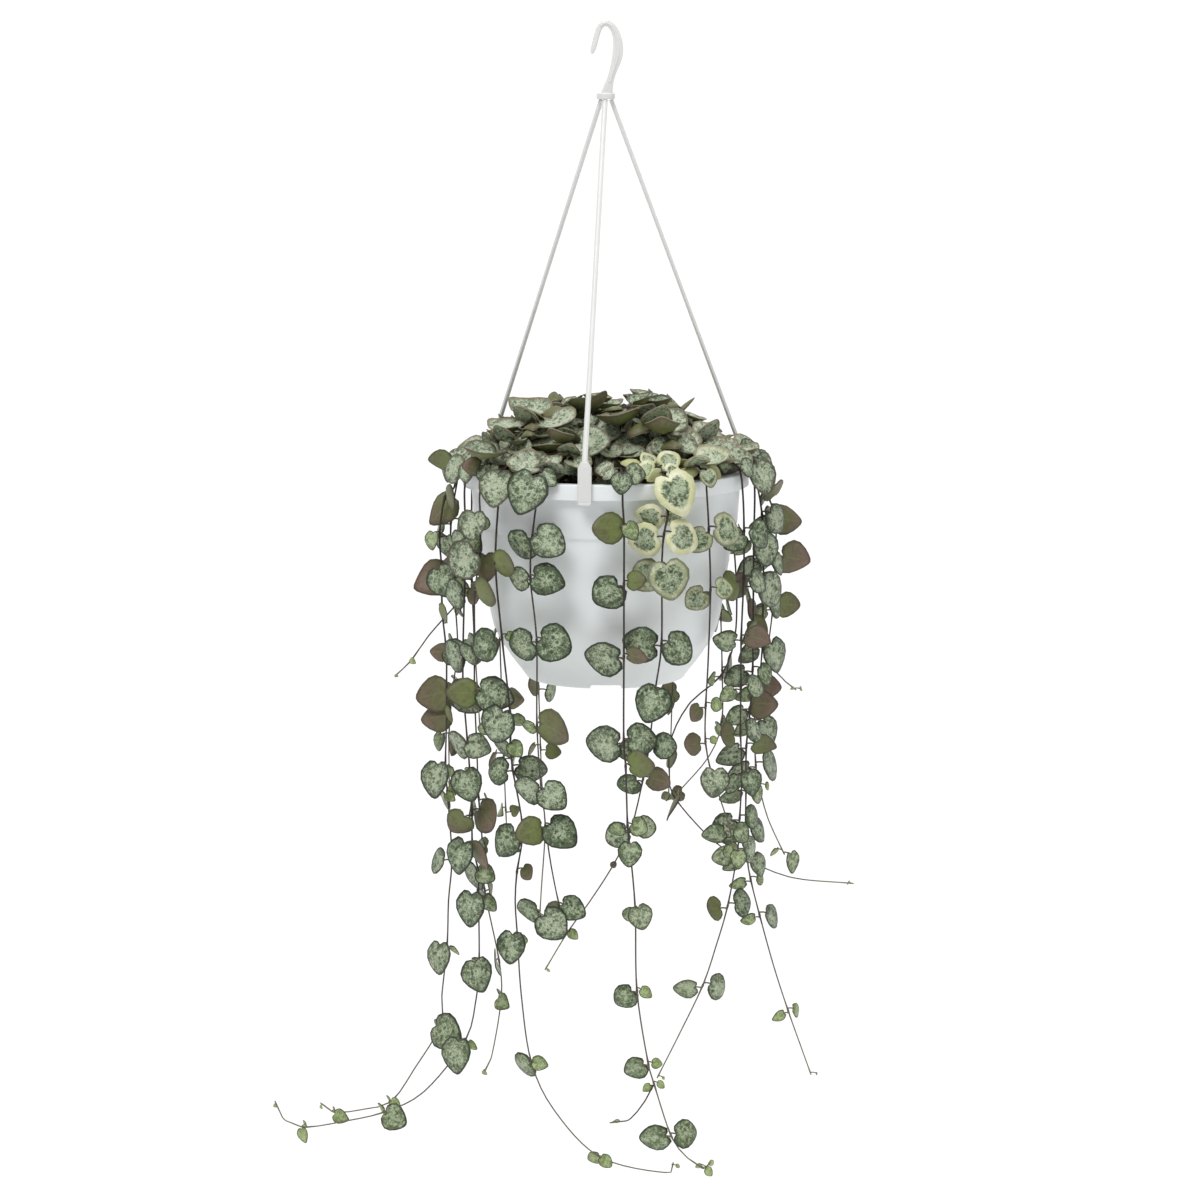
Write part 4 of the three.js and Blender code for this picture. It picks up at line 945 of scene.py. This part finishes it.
class ClearSpace:
    """The discs and bars placed so far."""

    def __init__(self):
        self.discs, self.bars = np.zeros((0, 7)), np.zeros((0, 7))

    def add_bars(self, points, gap):
        rows = [[*a, *b, gap] for a, b in zip(points, points[1:])]
        self.bars = np.vstack([self.bars, rows])

    def add_leaf(self, leaf, gap=CLEAR_GAP):
        self.discs = np.vstack([self.discs, [*leaf["centre"], *leaf["normal"], leaf["radius"]]])
        self.bars = np.vstack([self.bars, [*leaf["foot"], *leaf["notch"], gap]])

    def bars_meet(self, centres, normals, radii, starts, ends, gaps):
        begin, end = starts - centres, ends - centres
        low, high = (begin * normals).sum(1), (end * normals).sum(1)
        beside = (low * high > 0) & (np.minimum(abs(low), abs(high)) > gaps)
        spread = np.where(low == high, 1.0, low - high)
        share = np.where(low == high, 0.5, np.clip(low / spread, 0, 1))
        nearest = np.linalg.norm(begin + (end - begin) * share[:, None], axis=1)
        return bool(np.any(~beside & (nearest < radii + gaps)))

    def discs_meet(self, leaf, gap):
        between = self.discs[:, :3] - leaf["centre"]
        near = np.linalg.norm(between, axis=1) <= leaf["radius"] + self.discs[:, 6] + gap
        if not near.any():
            return False
        between, normals, radii = between[near], self.discs[near, 3:6], self.discs[near, 6]
        line = np.cross(leaf["normal"], normals)
        slope = np.linalg.norm(line, axis=1)
        over, height = abs(between @ leaf["normal"]), abs((between * normals).sum(1))
        apart = (over > radii * slope + gap) | (height > leaf["radius"] * slope + gap)
        safe = np.maximum(slope, 1e-9)
        chords = (np.sqrt(np.maximum(0, (leaf["radius"] + gap) ** 2 - (height / safe) ** 2))
                  + np.sqrt(np.maximum(0, (radii + gap) ** 2 - (over / safe) ** 2)))
        crossing = abs((between * line).sum(1)) / safe < chords
        return bool(np.any(~apart & ((slope < NEARLY_LEVEL) | crossing)))

    def blocked(self, leaf, gap=CLEAR_GAP):
        if pot_meets(leaf) or self.discs_meet(leaf, gap):
            return True
        stalk = (leaf["foot"][None], leaf["notch"][None], gap)
        if len(self.discs) and self.bars_meet(self.discs[:, :3], self.discs[:, 3:6],
                                              self.discs[:, 6], *stalk):
            return True
        slack = CLEAR_GAP - gap
        return self.bars_meet(leaf["centre"][None], leaf["normal"][None], leaf["radius"],
                              self.bars[:, :3], self.bars[:, 3:6], self.bars[:, 6] - slack)


def pot_meets(leaf):
    """Tests a leaf's middle and three rings of twelve points on it against the pot."""
    across = np.cross(leaf["normal"], leaf["along"])
    steps = np.arange(37)
    turn, reach = steps * math.pi / 6, leaf["radius"] * np.ceil(steps / 12) / 3
    rim = (leaf["centre"] + across * (reach * np.sin(turn))[:, None]
           + leaf["along"] * (reach * np.cos(turn))[:, None])
    z, radius = rim[:, 2], np.hypot(rim[:, 0], rim[:, 1])
    depth = RIM_Z - z
    rows = np.array([*[r for r, _ in WALL_OUTSIDE], 0.0])
    wall = np.where(depth < 10, RIM_RADIUS,
                    rows[np.searchsorted([d for _, d in WALL_OUTSIDE], depth)] + 2)
    level = (z < RIM_Z + POT_GAP) & (z > RIM_Z - POT_HEIGHT - POT_GAP)
    over_soil = (radius < SOIL_RADIUS - POT_GAP) & (z > RIM_Z - SOIL_DEPTH + SOIL_CROWN + POT_GAP)
    return bool(np.any(level & (radius < wall + POT_GAP) & ~over_soil))


def grow_leaf(space, foot, pair_turn, length, side, draws, gap=CLEAR_GAP):
    for shrink in SHRINKS:
        for twist in TWISTS:
            for front in (side, -side):
                leaf = leaf_frame(foot, pair_turn, length * shrink, side, draws, twist, front)
                if not space.blocked(leaf, gap):
                    space.add_leaf(leaf)
                    return leaf
    return None


print("tries for each leaf, at most:", len(SHRINKS) * len(TWISTS) * 2)

# %% Grow the plant
space = ClearSpace()
for shoot in shoots.values():
    for nodes in shoot["runs"]:
        rows = points_of(nodes)
        path = [curve_point(rows, k / 3) for k in range(3 * (len(rows) - 1) + 1)]
        space.add_bars(path, STEM_GAP)
for azimuth in STRANDS.values():
    ends = [np.array(around(azimuth, *end)) for end in ((3, -37), (76, -216), (77, -238))]
    path = [ends[0] + (ends[1] - ends[0]) * step / 20 for step in range(21)]
    space.add_bars([*path, ends[2]], STRAND_GAP)
for shoot in shoots.values():
    draw = draws_from(shoot["seed"])
    next_four = lambda: [next(draw) for _ in range(4)]
    shoot["leaves"] = []
    for run, nodes in enumerate(shoot["runs"]):
        for index, row in enumerate(nodes):
            for length, side in ((row[3], 1), (row[4], -1)):
                draws = next_four()
                if length:
                    foot = leaf_foot(nodes, index, side)
                    leaf = grow_leaf(space, foot, row[5], length, side, draws)
                    if leaf:
                        leaf.update(planned=True, share=index / (len(nodes) - 1), run=run)
                        shoot["leaves"].append(leaf)
print("leaves in the rows' places:", sum(len(shoot["leaves"]) for shoot in shoots.values()))

# %% [markdown]
# ## Filling the crown
# On the real plant the top of the pot is so full that the soil hardly shows. The rows give the
# leaves that shape the mound. Between them, smaller leaves grow along each crown shoot and along
# the first stretches of each vine, wherever there is still room. The same rule keeps them clear,
# with a smaller gap. A spot is a place along the nodes and the length of a leaf there.

# %% Leaves between the rows
CROWN_SPOTS = [(1.55, 12), (2.35, 13), (2.7, 12), (3.35, 14), (3.7, 12), (4.35, 13), (4.7, 12),
               (4.9, 13), (2.15, 10), (3.1, 10), (4.1, 10), (4.55, 10)]
VINE_SPOTS = [(1.6, 12), (2.5, 13), (2.85, 12), (3.6, 10), (2.3, 11), (2.7, 10), (2.1, 11)]
UNDERSIDES, FILL_GAP, FILL_SEED = 0.36, 0.7, 77


def fill_between(shoot, draw):
    nodes = shoot["runs"][0]
    rows = points_of(nodes)
    for place, length in CROWN_SPOTS if shoot["crown"] else VINE_SPOTS:
        for side in (1, -1):
            draws = [next(draw) for _ in range(4)]
            shows = -1 if next(draw) < UNDERSIDES else 1
            size = length * (0.85 + 0.3 * next(draw))
            foot = curve_point(rows, place)
            leaf = grow_leaf(space, foot, 360 * next(draw), shows * size, side, draws, FILL_GAP)
            if leaf:
                leaf.update(planned=False, share=place / (len(nodes) - 1), run=0)
                shoot["leaves"].append(leaf)


fill_draw = draws_from(FILL_SEED)
for shoot in shoots.values():
    fill_between(shoot, fill_draw)
print("leaves in all:", sum(len(shoot["leaves"]) for shoot in shoots.values()))

# %% [markdown]
# ## One leaf to copy
# A leaf is a small, fleshy, cupped heart. It could be drawn as a curve and filled, but then it has
# no thickness and no rings to bend. Here a circle is inset, its middle is poked, and the sheet is
# extruded to a thin slab: ninety faces, few enough to copy hundreds of times. The mesh that is
# copied stays round. Each leaf works out its own heart from it, so no two are alike.

# %% The leaf to copy
LEAF_POINTS = 18
POKED_AT = 0.38


def plain_leaf():
    bm = bmesh.new()
    bmesh.ops.create_circle(bm, cap_ends=True, cap_tris=False, segments=LEAF_POINTS, radius=1.0)
    inner = list(bm.faces)
    bmesh.ops.inset_individual(bm, faces=inner, thickness=0.36)
    bmesh.ops.poke(bm, faces=inner)
    grown = bmesh.ops.extrude_face_region(bm, geom=list(bm.faces))["geom"]
    bmesh.ops.translate(bm, vec=(0, 0, 1), verts=verts_in(grown))
    bmesh.ops.translate(bm, vec=(0, 0, -0.5), verts=bm.verts)
    bmesh.ops.recalc_face_normals(bm, faces=bm.faces)
    for face in bm.faces:
        face.material_index = 1 if face.normal.z < -0.5 else 0
    return mesh_from(bm, "plain_leaf")


def heart(x, y, lobes, tip, width):
    """Where a point of the unit circle lies on the heart, as shares of the leaf's length."""
    ring = math.hypot(x, y)
    if ring < 1e-6:
        return 0.0, POKED_AT, 0.0
    turn = math.atan2(x, y)
    turn -= 0.16 * math.sin(2 * turn)
    side, ahead = math.sin(turn), math.cos(turn)
    across = HALF_WIDTH * side * (1 - 0.22 * max(0.0, ahead) + 0.05 * max(0.0, -ahead)) * width
    along = 0.34 + (0.56 if ahead > 0 else 0.47) * ahead + tip * max(0.0, ahead) ** 8
    along += 0.13 * ((1 - ahead) / 2) ** 90
    along -= lobes * math.exp(-((math.acos(max(-1, min(1, ahead))) - 2.65) / 0.3) ** 2)
    return ring * across, POKED_AT + ring * (along - POKED_AT), ring


leaf_mesh = plain_leaf()
leaf_rows = [tuple(vert.co) for vert in leaf_mesh.vertices]
print("faces in one leaf:", len(leaf_mesh.polygons))

# %% [markdown]
# ## The upper side of a leaf
# Each leaf is marbled: silver-mint patches with a fine grain over grey-green, many small dark dots
# and some larger round specks, a paler rib, and a thin dark edge. Young leaves are lime, crown
# leaves are more silver with a dusty brown edge, and a few near the right of the rim have a broad
# cream margin. A picture could not turn from leaf to leaf without repeating, so clouds of
# different size make the marbling, and cells of two sizes make dots and specks. How silver, young
# or cream a leaf is comes with its mesh, as attributes, so one finish serves the whole plant.

# %% Upper side
def leaf_upper():
    finish = Finish("leaf_upper", IOR=1.42)
    edge, silver = finish.attribute("edge"), finish.attribute("silver")
    young, cream = finish.attribute("young"), finish.attribute("cream")
    patches = finish.cloud(190, 2, 0.6)
    grain = finish.cloud(620, 2, 1.0)
    dust = finish.cloud(1700, 2)
    specks, dots = finish.cells(350), finish.cells(980)
    chosen = finish.cloud(260, 1)
    pale = (grain * 0.85 + patches * 0.45 + dust * 0.3 + silver * 0.16 - edge * 0.2).rise(0.6, 0.92)
    dark = finish.blend(silver, paint("#4b593d"), paint("#5d6952"))
    mint = finish.blend(silver, paint("#a8b895"), paint("#bcc5ac"))
    colour = finish.blend(pale, dark, mint)
    dot = (1 - dots.rise(0.24, 0.4)) * (grain + patches * 0.5).rise(0.6, 0.8) * (1 - silver * 0.3)
    colour = finish.blend(dot * 0.62, colour, paint("#3a4833"))
    speck = (1 - specks.rise(0.29, 0.42)) * chosen.rise(0.42, 0.52) * (1 - silver * 0.25)
    colour = finish.blend(speck * 0.85, colour, paint("#303d2b"))
    rib = (1 - abs(finish.attribute("across")).rise(0.006, 0.03)) * (1 - edge)
    colour = finish.blend(rib * 0.45, colour, paint("#b4bfa4"))
    lime = finish.ramp(grain * 0.6 + patches * 0.4, (0.4, "#7f9550"), (0.62, "#b3c284"))
    colour = finish.blend(young * 0.85, colour, lime)
    margin = (edge + (grain - 0.5) * 0.3).rise(0.6, 0.74) * cream
    colour = finish.blend(margin, colour, finish.ramp(patches, (0.4, "#cfd2a2"), (0.65, "#e0e0c2")))
    line = finish.blend(silver.rise(0.5, 0.9), paint("#2b3527"), paint("#8d8069"))
    colour = finish.blend(edge.rise(0.86, 0.94) * (1 - cream) * 0.9, colour, line)
    finish.wear("Base Color", colour)
    finish.wear("Roughness", 0.5 + (grain - 0.5) * 0.3 - pale * 0.06)
    finish.relief(grain * 0.5 + patches * 0.5, 0.00025, 0.5)
    return finish.material


upper_side = leaf_upper()
print("nodes in the upper side's finish:", len(upper_side.node_tree.nodes))

# %% [markdown]
# ## Undersides and stems
# A leaf's underside has no marbling. It runs from olive green through brown to a dusty mauve, more
# so towards its tip, with a faint mottle and a darker edge. Stems are dark purple-brown near the
# soil and get paler and greener towards their tips. Both take one attribute along a ramp of
# colours, and a cloud keeps them from being even.

# %% Underside and stem
def leaf_under():
    finish = Finish("leaf_under", IOR=1.42)
    edge, warm = finish.attribute("edge"), finish.attribute("warm")
    ahead, cream = finish.attribute("ahead"), finish.attribute("cream")
    broad, fine = finish.cloud(150, 2, 0.4), finish.cloud(900, 3)
    mottle = finish.cloud(430, 2, 0.8)
    place = warm * 0.75 + (broad - 0.5) * 0.5 + (ahead - 0.45) * 0.55 + edge * 0.08
    colour = finish.ramp(place, (0.0, "#717d46"), (0.3, "#6a6f46"), (0.6, "#6a614a"),
                         (0.95, "#7d665b"))
    colour = finish.blend(fine.rise(0.5, 0.8) * 0.35, colour, paint("#8a8a6b"))
    rib = (1 - abs(finish.attribute("across")).rise(0.008, 0.035)) * (1 - edge)
    colour = finish.blend(mottle.rise(0.5, 0.66) * 0.3, colour, paint("#47482f"))
    colour = finish.blend(rib * 0.22, colour, paint("#979a68"))
    colour = finish.blend(edge.rise(0.84, 0.95) * 0.6, colour, paint("#4f4a38"))
    colour = finish.blend(cream * 0.85, colour, paint("#c2c68c"))
    finish.wear("Base Color", colour)
    finish.wear("Roughness", 0.5 + (fine - 0.5) * 0.2)
    finish.relief(broad * 0.4 + fine * 0.6, 0.0002, 0.5)
    return finish.material


def stem_skin():
    finish = Finish("stem_skin", IOR=1.42)
    age = finish.attribute("age")
    streaks = finish.cloud(420, 3, 0.6)
    colour = finish.ramp(age + (streaks - 0.5) * 0.3, (0.0, "#332a29"), (0.5, "#463c38"),
                         (0.8, "#6b6355"), (1.0, "#86875f"))
    finish.wear("Base Color", colour)
    finish.wear("Roughness", 0.52 + (streaks - 0.5) * 0.25)
    finish.relief(streaks, 0.0002, 0.5)
    return finish.material


plant_finishes = [upper_side, leaf_under(), stem_skin()]
print("plant finishes:", [finish.name for finish in plant_finishes])

# %% [markdown]
# ## Growing each shoot as one piece
# A shoot is one grown thing, so its stem, stalks and leaves share one mesh. The stem is a tube
# that thins towards its tip and swells at the nodes. A stalk is a thinner tube that arches into
# the notch of its leaf. Each leaf copies the plain leaf, moves the copy's points onto a heart, and
# cups, folds and bends it a little in its own way.

# %% A shoot's mesh
MARKS = ("edge", "across", "ahead", "silver", "young", "cream", "warm", "age")
VINE_STEM, BRANCH, CROWN_STEM, STEM_TIP = 0.6, 0.42, 0.66, 0.34
KNOT, KNOT_REACH = 0.3, 1.3
TUBER_RADIUS = 1.9


def set_marks(verts, layers, **marks):
    for vert in verts:
        for mark, value in marks.items():
            vert[layers[mark]] = value


def stem_into(bm, layers, nodes, root_radius, tip_radius):
    rows = points_of(nodes)
    places = []
    for i in range(len(rows) - 1):
        span = float(np.linalg.norm(rows[i + 1] - rows[i]))
        near = min(0.2, KNOT_REACH / span)
        places += [i, *(i + np.linspace(near, 1 - near, max(2, math.ceil(span / 6))))]
    places.append(len(rows) - 1)
    last = places[-1]
    leafy = [rows[i] for i, row in enumerate(nodes) if row[3] or row[4]]
    path = [curve_point(rows, place) for place in places]
    radii = []
    for place, point in zip(places, path):
        knot = max([math.exp(-(np.linalg.norm(point - node) / KNOT_REACH) ** 2)
                    for node in leafy] or [0])
        radii.append(root_radius + (tip_radius - root_radius) * place / last + KNOT * knot)
    radii[-1] *= 0.5
    faces = tube(bm, path, radii, 7, 2)
    ends = [path[0] * MM, path[-1] * MM]
    for vert in {vert for face in faces for vert in face.verts}:
        low = (vert.co - Vector(ends[0])).length
        high = (vert.co - Vector(ends[1])).length
        vert[layers["age"]] = 0.9 * low / (low + high)


def stalk_into(bm, layers, leaf, age):
    foot, notch = leaf["foot"], leaf["notch"]
    span = float(np.linalg.norm(notch - foot))
    bend = (foot + notch) / 2 + UP * 0.16 * span
    inside = notch + leaf["along"] * 0.05 * leaf["length"]
    path = [foot * (1 - t) ** 2 + bend * 2 * t * (1 - t) + notch * t * t for t in (0, 0.3, 0.65, 1)]
    size = 0.3 + 0.011 * leaf["length"]
    faces = tube(bm, [*path, inside], [size * 1.25, size, size, size, size * 0.5], 5, 2)
    set_marks({vert for face in faces for vert in face.verts}, layers, age=age)


def blade_into(bm, layers, leaf, shape, marks):
    start = len(bm.verts)
    bm.from_mesh(leaf_mesh)
    bm.verts.ensure_lookup_table()
    across = np.cross(leaf["along"], leaf["normal"])
    length, notch = leaf["length"], leaf["notch"]
    thick = 0.45 + 0.035 * length
    for vert, (x, y, level) in zip(bm.verts[start:], leaf_rows):
        a, b, ring = heart(x, y, shape["lobes"], shape["tip"], shape["width"])
        turn = math.atan2(x, y)
        bowl = (a / HALF_WIDTH) ** 2 + ((b - 0.4) / 0.5) ** 2 - 0.64
        rise = shape["cup"] * bowl + shape["fold"] * abs(a) - shape["nod"] * max(0, b - 0.2) ** 2
        rise += shape["wave"] * ring ** 2 * math.sin(2 * turn + shape["phase"])
        middle = a
        a += shape["skew"] * b * b
        height = rise * length + level * thick * (1 - 0.5 * ring ** 2)
        point = notch + across * a * length + leaf["along"] * b * length + leaf["normal"] * height
        vert.co = Vector(point) * MM
        set_marks([vert], layers, edge=ring, across=middle, ahead=b, **marks)


def leaf_look(leaf, name, draw):
    """How one leaf is bent, and how silver, young, cream or warm it is."""
    d = [next(draw) for _ in range(10)]
    raised, small = leaf["raised"], max(0.0, 1 - leaf["length"] / 13)
    shape = {
        "lobes": 0.02 + 0.05 * d[0] - 0.02 * small, "tip": 0.02 + 0.08 * d[1] + 0.06 * small,
        "width": 0.98 + 0.12 * d[2] - 0.3 * small,
        "cup": (1 - raised) * (-0.07 + 0.11 * d[3]) + raised * (0.3 * leaf["boat"] - 0.02),
        "fold": 0.05 + (0.17 + 0.12 * raised) * d[4], "nod": 0.02 + 0.2 * d[5] * (1 - raised),
        "wave": 0.03 * (d[6] - 0.3), "phase": 6.3 * d[7], "skew": 0.1 * (d[8] - 0.5),
    }
    z = leaf["centre"][2]
    young = min(1.0, small * 1.6) * leaf["planned"] + max(0.0, (-470 - z) / 400) * 0.6
    cream = 0.0
    if name == "vine_front_right" and z > -262:
        cream = 1.0
    elif name in ("vine_front_right", "vine_right_front") and z > -290:
        cream = 0.45
    marks = {
        "silver": min(1.0, 0.15 + 0.5 * d[9] + 0.45 * raised), "young": min(1.0, young),
        "cream": cream, "warm": 0.15 + 0.85 * d[0] ** 1.3 * (1 - 0.6 * raised),
    }
    return shape, marks


def tuber_into(bm, layers, spot):
    place = Matrix.Translation(Vector(spot) * MM)
    made = bmesh.ops.create_icosphere(bm, subdivisions=2, radius=TUBER_RADIUS * MM,
                                      matrix=place)["verts"]
    for vert in made:
        push = vert.co - Vector(spot) * MM
        vert.co = Vector(spot) * MM + push * (1 + 0.16 * noise.noise(push * 900))
    for face in {face for vert in made for face in vert.link_faces}:
        face.material_index = 2
    set_marks(made, layers, age=0.62)


def grown_shoot(name, shoot):
    bm = bmesh.new()
    layers = {mark: bm.verts.layers.float.new(mark) for mark in MARKS}
    for number, nodes in enumerate(shoot["runs"]):
        thick = VINE_STEM if number == 0 else BRANCH
        stem_into(bm, layers, nodes, CROWN_STEM if shoot["crown"] else thick, STEM_TIP)
    draw = draws_from(shoot["seed"] * 31 + 5)
    for leaf in shoot["leaves"]:
        shape, marks = leaf_look(leaf, name, draw)
        stalk_into(bm, layers, leaf, 0.35 + 0.55 * leaf["share"])
        blade_into(bm, layers, leaf, shape, marks)
    if shoot["tuber"]:
        tuber_into(bm, layers, shoot["tuber"])
    return as_piece(bm, name + "_grown", plant_finishes, [name])


grown = [grown_shoot(name, shoot) for name, shoot in shoots.items()]
print("plant triangles:", sum(len(p.vertices) - 2 for piece in grown for p in piece.data.polygons))
